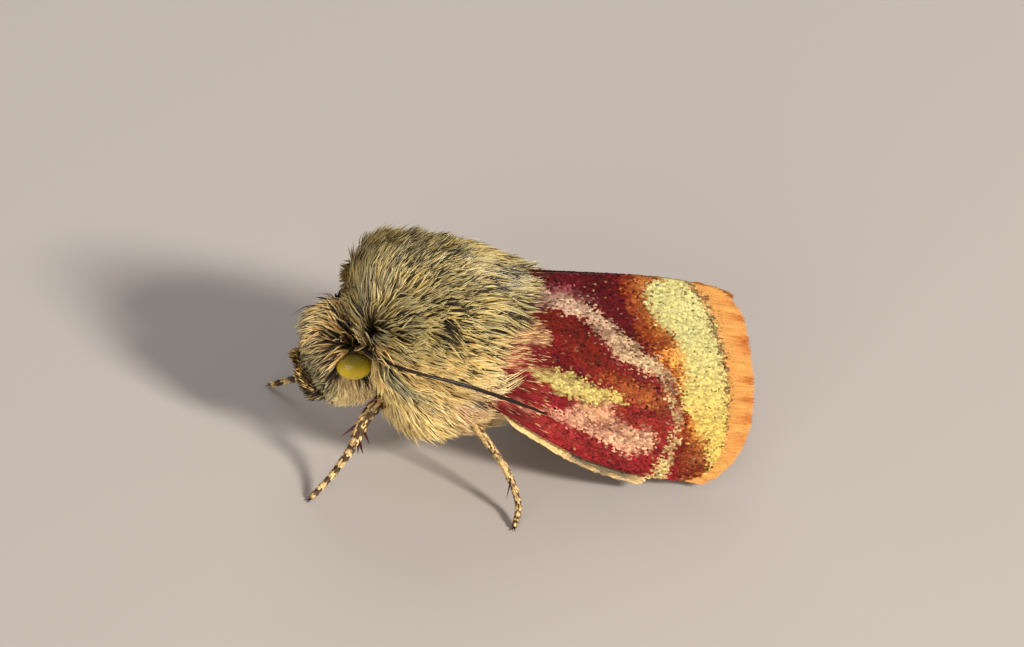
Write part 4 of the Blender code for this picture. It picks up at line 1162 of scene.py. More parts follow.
# Cream of the cheeks and round the eyes, made paler than the hair is, as painted light where they face down.
CHEEK_CREAM_AND_PAINTED_LIGHT = srgb(255, 220, 156)
ABDOMEN_BUFF = srgb(204, 168, 112)
# Hair tips: partly the hairs' own paler colour, partly a painted highlight.
TIP_PALE_AND_HIGHLIGHT = srgb(252, 236, 176)
BODY_SEED, OLIVE_SEED, HEAD_SEED = 61, 62, 63
BAND_START = np.array((-3.42, 4.06))  # x and z where the golden band begins
BAND_FALL = 0.71
# Each pair below holds the places between which a colour sets in.
OLIVE_HEIGHTS = (3.7, 4.5)
FLANK_X = (-3.9, -3.5)
AMBER_GAP = (0.4, 0.1)  # from the band's middle
DUSK_GAP = (0.36, 0.16)  # from the middle of the dark stretch under the band, partly dark hair and partly painted shade
DUSK_X = (-2.2, -2.8)
CREAM_DROP = (-0.8, -1.05)  # over the band's middle
BROWN_GAP = (0.95, 0.3)  # from the nearer parting
RED_X = (-2.0, -1.5)
RED_HEIGHTS = (3.0, 2.5)
BUFF_X = (-0.9, -0.4)
BUFF_HEIGHTS = (4.0, 3.4)
CHEEK_HEIGHTS = (2.85, 2.55)
EYE_RIM = (0.7, 0.5)  # from the eye's centre
EYE_RIM_HEIGHTS = (3.3, 2.9)
MOUTH_X = (-4.45, -4.75)
MOUTH_HEIGHTS = (3.2, 2.9)
HEAD_X = (-3.6, -3.9)
HEAD_HEIGHTS = (4.1, 3.8)


def below_band(points):
    """The height over the golden band of the flank."""
    return points[:, 2] - BAND_START[1] + BAND_FALL * (points[:, 0] - BAND_START[0])


# %% Colour the body and the skin
def body_colour(points):
    """The coat's main colour at a place on the body."""
    x, z = points[:, 0], points[:, 2]
    ragged = noise(points, 0.45, BODY_SEED)
    top = mixed(OLIVE_DULL, OLIVE, smooth_step(-0.4, 0.4, noise(points, 0.4, OLIVE_SEED)))
    colour = mixed(GOLD, top, smooth_step(*OLIVE_HEIGHTS, z + 0.2 * ragged))
    band = below_band(points) + 0.12 * ragged
    flank = smooth_step(*FLANK_X, x)
    colour = mixed(colour, AMBER, smooth_step(*AMBER_GAP, np.abs(band + 0.05)) * flank)
    # The dark stretch under the golden band: partly dark hair, partly painted shade under the band.
    dark_and_shaded = smooth_step(*DUSK_GAP, np.abs(band + 0.62)) * smooth_step(*DUSK_X, x) * flank
    colour = mixed(colour, DUSK, dark_and_shaded)
    colour = mixed(colour, CREAM, smooth_step(*CREAM_DROP, band))
    parted = np.minimum(*from_parting(points)[1])
    colour = mixed(colour, BROWN, smooth_step(*BROWN_GAP, parted + 0.2 * ragged) * 0.85)
    reddish = smooth_step(*RED_X, x + 0.2 * ragged) * smooth_step(*RED_HEIGHTS, z)
    colour = mixed(colour, WING_ROOT_RED, reddish * 0.7)
    return mixed(colour, ABDOMEN_BUFF, smooth_step(*BUFF_X, x) * smooth_step(*BUFF_HEIGHTS, z))


def head_colour(points):
    """The same on the head: tan above, cream with painted light round the eyes and cheeks, dark at the mouth.
    """
    x, z = points[:, 0], points[:, 2]
    ragged = noise(points, 0.3, HEAD_SEED)
    colour = mixed(TAN, BROWN, smooth_step(0.1, 0.6, ragged) * 0.7)
    near_eye = np.linalg.norm(np.abs(points) * (0, 1, 0) + points * (1, 0, 1) - EYE_CENTRE, axis=1)
    cheek = np.maximum(smooth_step(*CHEEK_HEIGHTS, z + 0.1 * ragged),
                       smooth_step(*EYE_RIM, near_eye) * smooth_step(*EYE_RIM_HEIGHTS, z))
    colour = mixed(colour, CHEEK_CREAM_AND_PAINTED_LIGHT, cheek)
    mouth = smooth_step(*MOUTH_X, x + 0.15 * ragged) * smooth_step(*MOUTH_HEIGHTS, z)
    return mixed(colour, DUSK, mouth * 0.9)


def skin_colour(points):
    """The bare skin takes the coat's colour over it."""
    on_head = smooth_step(*HEAD_X, points[:, 0]) * smooth_step(*HEAD_HEIGHTS, points[:, 2])
    return mixed(body_colour(points), head_colour(points), on_head)


skin = build_skin()
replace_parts(skin, "head", "thorax", "abdomen", "palp_left", "palp_right")

# %% [markdown]
# ## Thorax coat
# Roots are spread evenly by a golden-angle spiral, combed along the lie and gathered into small locks and
# then into larger ones. About two hairs in five are dark on the back, one in eight on the flanks and more
# at the partings, and a few stand out beyond the rest. The hair is a solid three-sided blade, since hair
# curves are dropped by the export.

# %% Comb the thorax
THORAX_HAIRS = 43000
THORAX_REAR = -0.45
HAIR_WIDTH = 0.054
GOLDEN_ANGLE = math.pi * (3.0 - math.sqrt(5.0))
PIECE_HAIRS = 11000
ROOT_HEIGHTS = [1.0, 2.2, 2.6, 3.2, 3.6, 4.4, 5.0]  # the rearmost roots at each height
ROOT_LIMITS = [-1.9, -1.7, -1.45, -1.85, -1.95, -1.6, -0.55]
ROOT_SPREAD = 0.02
MAIN_BRIGHTNESS = (0.26, 1.5)
DARK_BRIGHTNESS = (0.5, 1.6)
DARK_ON_BACK, DARK_ON_FLANK, DARK_AT_PARTING = 0.40, 0.12, 0.35
THORAX_SEED = 71
STRAY_SHARE, STRAY_RISE = 0.06, 1.2  # the hairs that stand out beyond the rest
THORAX_LENGTH, LONGER_BEHIND, LONGER_ON_CHEST = 0.90, 0.55, 0.30
THORAX_WANDER = 0.28  # how far a hair strays from the lie
THORAX_LOCKS = ((60, 0.4), (10, 0.85))  # how many hairs share a lock, and how strongly they lean to it
EYE_CLEARANCE = 0.01


def thorax_roots(count, draw):
    """Even roots round the thorax, leaving out the head and what lies under the wings."""
    turn = np.linspace(0.0, np.pi / 2, 80)
    rear = np.linspace(DOME_X, THORAX_REAR, 80)[1:]
    x = np.append(DOME_X - DOME_REACH * np.cos(turn) ** (2 / DOME_POWER), rear)
    radius = np.append(DOME_RADIUS * np.sin(turn) ** (2 / DOME_POWER), np.interp(rear, REAR_X, REAR_RADIUS))
    area = np.append(0.0, np.cumsum(np.hypot(np.diff(x), np.diff(radius)) * (radius[1:] + radius[:-1])))
    share = (np.arange(count) + 0.5) / count * area[-1]
    around = np.arange(count) * GOLDEN_ANGLE + draw.normal(0.0, ROOT_SPREAD, count)
    spread = np.interp(share, area, radius)
    along = np.interp(share, area, x) + draw.normal(0.0, ROOT_SPREAD, count)
    points = np.stack([along, np.sin(around) * spread, np.cos(around) * spread + THORAX_AXIS], axis=1)
    points[:, 0] += CHEST_BACK * smooth_step(*CHEST_HEIGHTS, points[:, 2])
    points, _ = thorax_coat_surface(points, np.zeros(count))
    in_head = np.linalg.norm((points - HEAD_CENTRE) / (HEAD_HALF + 0.1), axis=1) < 1.0
    return points[~in_head & (points[:, 0] < np.interp(points[:, 2], ROOT_HEIGHTS, ROOT_LIMITS))]


def split_pieces(name, slot, paths, outs, *values):
    """Lays hairs out in pieces of fewer than 200,000 triangles, sorted by their place round the body."""
    order = np.argsort(np.arctan2(paths[:, 0, 1], paths[:, 0, 2] - THORAX_AXIS))
    for number, part in enumerate(np.array_split(order, math.ceil(len(order) / PIECE_HAIRS))):
        hair_piece(f"{name}_{number + 1}", slot, HAIR, paths[part], outs[part], *(v[part] for v in values))


def coat_colours(main, dark_share, roots, seed, draw):
    """A main colour and a paler tip, partly a painted highlight, for each hair, some of them dark."""
    count = len(roots)
    brightest = 1.0 / main.max(axis=1, keepdims=True)
    main = main * np.minimum(draw.uniform(*MAIN_BRIGHTNESS, (count, 1)), brightest)
    tip = mixed(main, TIP_PALE_AND_HIGHLIGHT, draw.uniform(0.1, 0.9, count))
    patchy = dark_share * (1.0 + 0.8 * noise(roots, 0.35, seed) + 0.7 * noise(roots, 0.12, seed + 1))
    dark = draw.uniform(0.0, 1.0, count) < patchy
    main[dark] = DARK * draw.uniform(*DARK_BRIGHTNESS, (int(dark.sum()), 1))
    tip[dark] = main[dark] * 1.4
    return main, tip


def thorax_coat():
    draw = np.random.default_rng(THORAX_SEED)
    roots = thorax_roots(THORAX_HAIRS, draw)
    count = len(roots)
    behind = smooth_step(-3.0, -1.6, roots[:, 0])
    chest = smooth_step(-0.9, -1.4, below_band(roots))
    lengths = THORAX_LENGTH + LONGER_BEHIND * behind + LONGER_ON_CHEST * chest
    lengths = lengths * draw.uniform(0.65, 1.2, count)
    stray = draw.uniform(0.0, 1.0, count) < STRAY_SHARE
    top = np.where(stray, STRAY_RISE, draw.uniform(0.5, 1.0, count) ** 0.6)
    rises = np.stack([np.full(count, -0.05), top], axis=1)
    paths, outs = combed(roots, thorax_coat_surface, lengths, rises, THORAX_WANDER, draw)
    for size, pull in THORAX_LOCKS:
        paths = clumped(paths, size, pull, draw)
    free = clear_of_eyes(paths, 2 * EYE_CLEARANCE)
    paths, outs, roots = paths[free], outs[free], roots[free]
    height = below_band(roots)
    dark_share = DARK_ON_BACK - (DARK_ON_BACK - DARK_ON_FLANK) * smooth_step(0.9, 0.2, height)
    dark_share += DARK_AT_PARTING * smooth_step(0.7, 0.3, np.minimum(*from_parting(roots)[1]))
    main, tip = coat_colours(body_colour(paths[:, -1]), dark_share, roots, THORAX_SEED + 1, draw)
    widths = HAIR_WIDTH * draw.uniform(0.7, 1.2, len(roots))
    around = np.arctan2(roots[:, 1], roots[:, 2] - THORAX_AXIS) / (2 * np.pi) + 0.5
    reach = (roots[:, 0] - DOME_X + DOME_REACH) / (THORAX_REAR - DOME_X + DOME_REACH + CHEST_BACK)
    patches = on_map(around, reach)
    # Painted shade at the roots, weaker low on the flank and on the chest, so that these read as lit.
    painted_root_shades = 0.07 + 0.40 * smooth_step(0.9, -1.2, height)
    split_pieces("thorax_coat", "thorax_coat", paths, outs, widths, main, tip, painted_root_shades, patches)


thorax_coat()

# %% [markdown]
# ## Head coat
# The head's hairs are shorter, and shortest on the face. They run forwards and down from the partings. About
# two in five are dark above, hardly any on the cream cheeks, and a hair that would cross an eye is cut
# short, as a brow.

# %% Comb the head
HEAD_HAIRS = 9000
FACE_X = -4.9
BROW_SHARE = 0.4  # of its length is left of a hair that would cross an eye
HEAD_COAT_SEED = 81
DARK_ON_HEAD, DARK_ON_CHEEK = 0.42, 0.01
HEAD_LENGTH, SHORTER_ON_FACE, LONGER_ON_CREST = 0.56, 0.2, 0.22
HEAD_WANDER = 0.5
HEAD_LOCKS = ((40, 0.3), (9, 0.8))


def head_roots():
    """Even roots over the head, leaving out the neck."""
    share = (np.arange(HEAD_HAIRS) + 0.5) / HEAD_HAIRS
    x = 2 * share - 1
    around = np.arange(HEAD_HAIRS) * GOLDEN_ANGLE
    ring = np.sqrt(1 - x * x)
    ways = np.stack([x, ring * np.cos(around), ring * np.sin(around)], axis=1)
    roots = HEAD_CENTRE + ways * HEAD_HALF * SKIN_FIT
    neck = roots[:, 0] + 0.25 * (roots[:, 2] - 3.0) > -3.75
    return roots[~neck]


def head_coat():
    draw = np.random.default_rng(HEAD_COAT_SEED)
    roots = head_roots()
    count = len(roots)
    face = smooth_step(-4.5, FACE_X, roots[:, 0])
    crest = smooth_step(FACE_X, -4.4, roots[:, 0]) * smooth_step(3.1, 3.6, roots[:, 2])
    lengths = HEAD_LENGTH - SHORTER_ON_FACE * face + LONGER_ON_CREST * crest
    lengths = lengths * draw.uniform(0.6, 1.25, count)
    rises = np.stack([np.full(count, -0.1), draw.uniform(0.5, 1.35, count) * (1.0 + 1.2 * crest)], axis=1)
    paths, outs = combed(roots, head_coat_surface, lengths, rises, HEAD_WANDER, draw)
    for size, pull in HEAD_LOCKS:
        paths = clumped(paths, size, pull, draw)
    across = ~clear_of_eyes(paths, EYE_CLEARANCE)
    paths[across] = paths[across, :1] + (paths[across] - paths[across, :1]) * BROW_SHARE
    free = clear_of_eyes(paths, EYE_CLEARANCE)
    paths, outs, roots = paths[free], outs[free], roots[free]
    cheek = smooth_step(3.0, 2.7, roots[:, 2]) * (1.0 - face[free])
    dark_share = DARK_ON_HEAD - (DARK_ON_HEAD - DARK_ON_CHEEK) * cheek
    main, tip = coat_colours(head_colour(paths[:, 1]), dark_share, roots, HEAD_COAT_SEED + 1, draw)
    widths = HAIR_WIDTH * 0.9 * draw.uniform(0.7, 1.3, len(paths))
    way = (roots - HEAD_CENTRE) / HEAD_HALF
    around = np.arctan2(way[:, 1], way[:, 2]) / (2 * np.pi) + 0.5
    patches = on_map(around, way[:, 0] + 1, height=MAP_SPAN / 2)
    # Painted shade at the roots, much weaker on the cheeks, so that they read as lit.
    split_pieces("head_coat", "head_coat", paths, outs, widths, main, tip, 0.15 + 0.75 * cheek, patches)


head_coat()

# %% [markdown]
# ## Eyes
# A moth's eye is a dome of thousands of six-sided lenses. The dual of a finely divided icosphere is just
# such a net, so a small geometry tree makes one, raises each lens a little, and scales the ball to the
# eye's three radii.

# %% Grow the eyes
EYE_SPLITS = 5  # subdivisions of the icosphere
EYE_FILL = 0.98  # of the solid eye's radii
EYE_OLIVE = srgb(208, 178, 24)
# Painted shade towards the eye's top.
EYE_TOP_SHADE = srgb(124, 104, 12)


def eye_tree():
    """A ball of raised six-sided lenses, scaled and placed."""
    tree = bpy.data.node_groups.new("faceted_eye", "GeometryNodeTree")
    sizes = add_sockets(tree, (
        ("Geometry", "Geometry", None),
        ("Radii", "Vector", (1.0, 1.0, 1.0)),
        ("Centre", "Vector", (0.0, 0.0, 0.0)),
        ("Lens Rise", "Float", 0.012),
        ("Lens Share", "Float", 0.72),
        ("Finish", "Material", None),
    ), [("Geometry", "Geometry")])
    nodes = add_nodes(tree, {
        "entry": ("NodeGroupInput", {}),
        "ball": ("GeometryNodeMeshIcoSphere", {"Subdivisions": EYE_SPLITS}),
        "dual": ("GeometryNodeDualMesh", {}),
        "lenses": ("GeometryNodeExtrudeMesh", {"Individual": True}),
        "shrink": ("GeometryNodeScaleElements", {}),
        "shape": ("GeometryNodeTransform", {}),
        "real": ("GeometryNodeRealizeInstances", {}),
        "finish": ("GeometryNodeSetMaterial", {}),
        "leave": ("NodeGroupOutput", {}),
    })
    join(tree, nodes, (
        ("ball", "Mesh", "dual", "Mesh"),
        ("dual", "Dual Mesh", "lenses", "Mesh"),
        ("entry", "Lens Rise", "lenses", "Offset Scale"),
        ("lenses", "Mesh", "shrink", "Geometry"),
        ("lenses", "Top", "shrink", "Selection"),
        ("entry", "Lens Share", "shrink", "Scale"),
        ("shrink", "Geometry", "shape", "Geometry"),
        ("entry", "Radii", "shape", "Scale"),
        ("entry", "Centre", "shape", "Translation"),
        ("shape", "Geometry", "real", "Geometry"),
        ("real", "Geometry", "finish", "Geometry"),
        ("entry", "Finish", "finish", "Material"),
        ("finish", "Geometry", "leave", "Geometry"),
    ))
    return tree, sizes


def from_tree(name, tree, values, source=None):
    """The plain mesh that a geometry tree makes, as a piece of the moth."""
    base = source or bpy.data.meshes.new(name + "_seed")
    maker = bpy.data.objects.new(name, base)
    bpy.context.scene.collection.objects.link(maker)
    grown = maker.modifiers.new("grow", "NODES")
    grown.node_group = tree
    for identifier, value in values.items():
        grown[identifier] = value
    made = bpy.data.meshes.new_from_object(maker.evaluated_get(bpy.context.evaluated_depsgraph_get()))
    bpy.data.objects.remove(maker)
    obj = bpy.data.objects.new(name, made)
    bpy.context.scene.collection.objects.link(obj)
    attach(obj, "root")
    made.calc_loop_triangles()
    print(f"{name}: {len(made.loop_triangles)} triangles")
    return obj


def eye_material():
    """Olive green, with painted shade towards the top, under a clear gloss."""
    material = bpy.data.materials.new("eye_gloss")
    material.use_nodes = True
    tree = material.node_tree
    bottom, top = ((EYE_CENTRE[2] + end * EYE_HALF[2]) * MM for end in (-1, 1))
    nodes = add_nodes(tree, {
        "where": ("ShaderNodeTexCoord", {}),
        "split": ("ShaderNodeSeparateXYZ", {}),
        "height": ("ShaderNodeMapRange", {"From Min": bottom, "From Max": top}),
        "ramp": ("ShaderNodeValToRGB", {}),
    })
    nodes["shader"] = tree.nodes["Principled BSDF"]
    for socket, value in (("Roughness", 0.28), ("Coat Weight", 0.35), ("Coat Roughness", 0.12)):
        nodes["shader"].inputs[socket].default_value = value
    low, high = nodes["ramp"].color_ramp.elements
    low.color = (*EYE_OLIVE, 1.0)
    low.position = 0.5
    high.color = (*EYE_TOP_SHADE, 1.0)
    join(tree, nodes, (
        ("where", "Object", "split", "Vector"),
        ("split", "Z", "height", "Value"),
        ("height", "Result", "ramp", "Fac"),
        ("ramp", "Color", "shader", "Base Color"),
    ))
    return material


EYE_FINISH = eye_material()
eye_net, eye_inputs = eye_tree()
for side_name, side in SIDES.items():
    centre = placed(EYE_CENTRE * (1.0, side, 1.0))
    eye = from_tree(f"eye_dome_{side_name}", eye_net, {
        eye_inputs["Radii"]: tuple(float(v) for v in EYE_HALF * MM * EYE_FILL),
        eye_inputs["Centre"]: tuple(float(v) for v in centre),
        eye_inputs["Finish"]: EYE_FINISH,
    })
    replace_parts(eye, f"eye_{side_name}")

# %% [markdown]
# ## Feelers
# A feeler is a thread of some seventy short beads. A geometry tree lays one bead after another along a
# curve, each turned to the curve and as thick as the feeler is there.

# %% String the feelers
ANTENNA = [(-3.98, 0.85, 3.45, 0.055), (-3.86, 1.70, 3.80, 0.044), (-3.22, 2.68, 4.05, 0.037),
           (-2.00, 2.93, 3.76, 0.044), (-0.90, 2.90, 3.25, 0.048), (0.15, 2.62, 2.55, 0.026)]
BEADS = 74
BEAD_OVERLAP = 1.12  # of the space between two beads
BEAD_FORM = {"Vertices": 12, "Radius Top": 0.8, "Radius Bottom": 1.08, "Depth": 1.0}
BEAD_SIZES = "bead_radius"
THREAD_STEPS = 60


def feeler_tree():
    """Beads laid along a thread, each as wide as the thread's own attribute says."""
    tree = bpy.data.node_groups.new("beaded_feeler", "GeometryNodeTree")
    sizes = add_sockets(tree, (
        ("Geometry", "Geometry", None),
        ("Beads", "Int", 60),
        ("Bead Length", "Float", 0.0001),
        ("Finish", "Material", None),
    ), [("Geometry", "Geometry")])
    nodes = add_nodes(tree, {
        "entry": ("NodeGroupInput", {}),
        "curve": ("GeometryNodeMeshToCurve", {}),
        "stations": ("GeometryNodeResampleCurve", {}),
        "bead": ("GeometryNodeMeshCone", BEAD_FORM),
        "lay": ("GeometryNodeInstanceOnPoints", {}),
        "radius": ("GeometryNodeInputNamedAttribute", {"Name": BEAD_SIZES}),
        "size": ("ShaderNodeCombineXYZ", {}),
        "tangent": ("GeometryNodeInputTangent", {}),
        "align": ("FunctionNodeAlignRotationToVector", {}),
        "real": ("GeometryNodeRealizeInstances", {}),
        "finish": ("GeometryNodeSetMaterial", {}),
        "leave": ("NodeGroupOutput", {}),
    })
    nodes["radius"].data_type = "FLOAT"
    nodes["align"].axis = "Z"
    join(tree, nodes, (
        ("entry", "Geometry", "curve", "Mesh"),
        ("curve", "Curve", "stations", "Curve"),
        ("entry", "Beads", "stations", "Count"),
        ("stations", "Curve", "lay", "Points"),
        ("bead", "Mesh", "lay", "Instance"),
        ("tangent", "Tangent", "align", "Vector"),
        ("align", "Rotation", "lay", "Rotation"),
        ("radius", "Attribute", "size", "X"),
        ("radius", "Attribute", "size", "Y"),
        ("entry", "Bead Length", "size", "Z"),
        ("size", "Vector", "lay", "Scale"),
        ("lay", "Instances", "real", "Geometry"),
        ("real", "Geometry", "finish", "Geometry"),
        ("entry", "Finish", "finish", "Material"),
        ("finish", "Geometry", "leave", "Geometry"),
    ))
    return tree, sizes


def wire(name, stops, side, steps):
    """A bare line of vertices along stops, each with its bead's radius, for the tree to follow."""
    line = through(stops, np.linspace(0.0, 1.0, steps))
    mesh = bpy.data.meshes.new(name)
    points = placed(line[:, :3] * (1.0, side, 1.0))
    mesh.from_pydata([tuple(p) for p in points], [(k, k + 1) for k in range(steps - 1)], [])
    layer = mesh.attributes.new(BEAD_SIZES, "FLOAT", "POINT")
    layer.data.foreach_set("value", (line[:, 3] * MM).astype(np.float32))
    length = float(np.linalg.norm(np.diff(points, axis=0), axis=1).sum())
    return mesh, length


feeler_net, feeler_inputs = feeler_tree()
for side_name, side in SIDES.items():
    thread, length = wire(f"feeler_thread_{side_name}", ANTENNA, side, THREAD_STEPS)
    feeler = from_tree(f"antenna_beads_{side_name}", feeler_net, {
        feeler_inputs["Beads"]: BEADS,
        feeler_inputs["Bead Length"]: length / BEADS * BEAD_OVERLAP,
        feeler_inputs["Finish"]: FEELER,
    }, thread)
    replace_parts(feeler, f"antenna_{side_name}")

# %% [markdown]
# ## Hindwings
# At rest the hindwings lie folded under the forewings, pleated like a fan along their veins. Their front
# edges stand out below the forewings' as a pale strip, and the rest shows only from behind and below. They
# are a thin sheet with the pleats in its surface, tiled with pale scales on both sides.

# %% The hindwing's shape and colours
HIND_U = (0.32, 0.775)
HIND_V = (-0.046, 0.26)
HIND_LENGTH, HIND_WIDTH = 3.7, 1.4
HIND_DEPTHS = (0.10, 0.80)  # under the forewing, at the front edge and further in
HIND_THICK = 0.03
PLEATS = 5
PLEAT_DEPTH = 0.035
HIND_STEP = 0.06
HIND_SEED = 91
HIND_BUFF = srgb(236, 196, 132)
HIND_GREY = srgb(96, 86, 70)
HIND_COLUMNS, HIND_ROWS = 50, 40
# The sheet under the scales takes their colours darkened by this share, a painted shade.
HIND_SHADE = 0.8
HIND_SIDES = (("upper", 1.0, 0.0, 93), ("under", -1.0, HIND_THICK, 94))  # facing, depth and seed


def hind_place(share_u, share_v, side, depth):
    """Points of a hindwing for shares of its own length and width, with its pleats and rounded end."""
    round_end = 0.12 * np.abs(2 * share_v - 1) ** 3
    u = HIND_U[0] + (HIND_U[1] - HIND_U[0]) * share_u * (1 - round_end * (share_v > 0.5))
    front = HIND_V[0] * smooth_step(0.0, 0.12, share_u) * smooth_step(1.0, 0.9, share_u)
    v = front + (HIND_V[1] - front) * share_v
    pleat = PLEAT_DEPTH * np.cos(2 * np.pi * PLEATS * share_v) * smooth_step(0.0, 0.3, share_u)
    under = HIND_DEPTHS[0] + (HIND_DEPTHS[1] - HIND_DEPTHS[0]) * smooth_step(0.05, 0.6, share_v)
    root, along, out = wing_place(u, v, side, 0.0)
    return root - out * (under + depth - pleat)[:, None], along, out


def hind_colour(share_u, share_v):
    """Buff, with a grey field in the outer half that leaves the front edge and the end pale."""
    place = np.stack([share_u * HIND_LENGTH, share_v * HIND_WIDTH], axis=1)
    ragged = noise(place, 0.2, HIND_SEED)
    grey = smooth_step(0.40, 0.54, share_u + 0.06 * ragged) * smooth_step(0.98, 0.84, share_u)
    grey *= 0.45 + 0.55 * smooth_step(0.0, 0.06, share_v + 0.05 * ragged)
    return mixed(HIND_BUFF, HIND_GREY, grey * 0.9)


# %% Build the hindwings
def hind_sheet(name, side):
    u, v = grid_shares(HIND_COLUMNS, HIND_ROWS)
    top, _, _ = hind_place(u, v, side, 0.0)
    bottom, _, _ = hind_place(u, v, side, HIND_THICK)
    faces = shell_faces(HIND_COLUMNS, HIND_ROWS)
    return sheet_piece(name, "hindwing", side, faces, top, bottom, hind_colour(u, v) * HIND_SHADE, u, v)


def hind_scales(name, side, facing, depth, seed):
    draw = np.random.default_rng(seed)
    rows = int(HIND_LENGTH / HIND_STEP)
    places = int(HIND_WIDTH / HIND_STEP)
    u = np.repeat(np.arange(rows), places) / rows + draw.uniform(-0.3, 0.3, rows * places) / rows
    v = np.tile(np.arange(places) + 0.5, rows) / places + draw.uniform(-0.4, 0.4, rows * places) / places
    keep = (u > 0) & (u < 0.985) & (v > 0) & (v < 1)
    u, v = u[keep], v[keep]
    roots, along, out = hind_place(u, v, side, depth)
    colour = hind_colour(u, v) * draw.uniform(0.82, 1.15, (len(u), 1))
    lengths = SCALE_LENGTH * 1.3 * draw.uniform(0.9, 1.2, len(u))
    widths = SCALE_WIDTH * 1.1 * draw.uniform(0.8, 1.2, len(u))
    tilt = draw.uniform(0.03, 0.12, len(u))
    scale_piece(name, "hindwing", roots, along, out * facing, lengths, widths, tilt, colour, on_map(u, v))


for side_name, side in SIDES.items():
    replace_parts(hind_sheet(f"hindwing_sheet_{side_name}", side), f"hindwing_{side_name}")
    for word, facing, depth, seed in HIND_SIDES:
        hind_scales(f"hindwing_{word}_scales_{side_name}", side, facing, depth, seed)

# %% [markdown]
# ## Abdomen
# Short flat hairs cover the abdomen in seven rings, each with a fringe over the next, and end in a brush.
# It lies in the shade of the wings, but shows from behind and below.

# %% Cover the abdomen
ABDOMEN_HAIRS = 4200
ABDOMEN_COAT = 0.07
ABDOMEN_SKIN = 0.03  # how deep the hairs are rooted
ABDOMEN_WIDTH = 0.06  # of a hair
ABDOMEN_SEED = 101
RING_BROWN = srgb(150, 122, 84)
TAIL_HAIRS = 700
TAIL_SEED = 102
TAIL_START = 0.93
TAIL_RADIUS = 0.26
TAIL_FLARE = 0.12
TAIL_WIDTH = 0.05
TAIL_LENGTHS = (0.5, 0.85)
SHORT_ROOT_SHADE = 0.6  # the painted shade at the roots of the abdomen's and the palps' hairs


def abdomen_surface(points, rise):
    """Points moved to a height over the abdomen, and the way out there."""
    along = (points - ABDOMEN_START) @ ABDOMEN_WAY
    foot = ABDOMEN_START + along[:, None] * ABDOMEN_WAY
    out = unit(points - foot)
    radius = abdomen_radius(np.clip(along / ABDOMEN_LENGTH, 0.0, 1.0)) - ABDOMEN_SKIN + ABDOMEN_COAT * rise
    return foot + out * radius[:, None], out


def rearward(points, outs):
    """A lie that runs straight back along the abdomen."""
    return unit(ABDOMEN_WAY - outs * (outs @ ABDOMEN_WAY)[:, None])


def round_about(around):
    """Ways out from the body's axis, for turns round it."""
    return np.stack([np.zeros(len(around)), np.sin(around), np.cos(around)], axis=1)


def abdomen_coat():
    draw = np.random.default_rng(ABDOMEN_SEED)
    share = (np.arange(ABDOMEN_HAIRS) + 0.5) / ABDOMEN_HAIRS * 0.97
    around = np.arange(ABDOMEN_HAIRS) * GOLDEN_ANGLE
    roots, _ = abdomen_surface(abdomen_axis(share) + round_about(around), np.zeros(ABDOMEN_HAIRS))
    ring = (share * ABDOMEN_RINGS) % 1.0
    lengths = (0.26 + 0.16 * smooth_step(0.6, 1.0, ring)) * draw.uniform(0.8, 1.2, ABDOMEN_HAIRS)
    rises = np.stack([np.zeros(ABDOMEN_HAIRS), 0.4 + 0.8 * smooth_step(0.5, 1.0, ring)], axis=1)
    paths, outs = combed(roots, abdomen_surface, lengths, rises, 0.12, draw, rearward)
    main = mixed(body_colour(roots), RING_BROWN, 0.6 * smooth_step(0.5, 0.0, ring))
    main *= draw.uniform(0.8, 1.2, (ABDOMEN_HAIRS, 1))
    patches = on_map(share, (MAP_SPAN * (around / (2 * np.pi))) % 1.0, height=0.98)
    widths = ABDOMEN_WIDTH * draw.uniform(0.8, 1.2, ABDOMEN_HAIRS)
    hair_piece("abdomen_coat", "abdomen", HAIR, paths, outs, widths, main, main * 1.2, SHORT_ROOT_SHADE,
               patches)


def tail_brush():
    """Hairs that spread a little and run straight back from the abdomen's end."""
    draw = np.random.default_rng(TAIL_SEED)
    around = draw.uniform(0.0, 2 * np.pi, TAIL_HAIRS)
    wide = np.sqrt(draw.uniform(0.0, 1.0, TAIL_HAIRS))
    out = round_about(around)
    start = abdomen_axis(np.full(TAIL_HAIRS, TAIL_START)) + out * (TAIL_RADIUS * wide)[:, None]
    length = draw.uniform(*TAIL_LENGTHS, TAIL_HAIRS)
    share = np.linspace(0.0, 1.0, STATIONS)
    paths = start[:, None] + share[None, :, None] * length[:, None, None] * ABDOMEN_WAY
    paths = paths + out[:, None] * (TAIL_FLARE * wide[:, None] * share[None] * (1.2 - share[None]))[..., None]
    outs = np.repeat(out[:, None], STATIONS, axis=1)
    main = CREAM * draw.uniform(0.7, 1.1, (TAIL_HAIRS, 1))
    patches = on_map(around / (2 * np.pi), wide, height=0.9)
    widths = np.full(TAIL_HAIRS, TAIL_WIDTH)
    hair_piece("tail_brush", "abdomen", HAIR, paths, outs, widths, main, main * 1.1, SHORT_ROOT_SHADE,
               patches)


abdomen_coat()
tail_brush()

# %% [markdown]
# ## Palps
# Two short scaly palps stick out under the face, nearly as shaggy as the cheeks. They are dark, with pale
# hairs among the dark ones, most of them at the end.

# %% Cover the palps
PALP_HAIRS = 1500
PALP_SEED = 111
PALP_DARK = srgb(44, 34, 26)
PALP_LENGTHS = (0.24, 0.50)
PALP_LEANS = (0.25, 0.6)
PALP_WIDTHS = (0.03, 0.05)
PALE_SHARES = (0.12, 0.5)  # of the palp's hairs, and how many more at its end
TUBE_NUDGE = 0.01  # the step that a tube's way is measured over


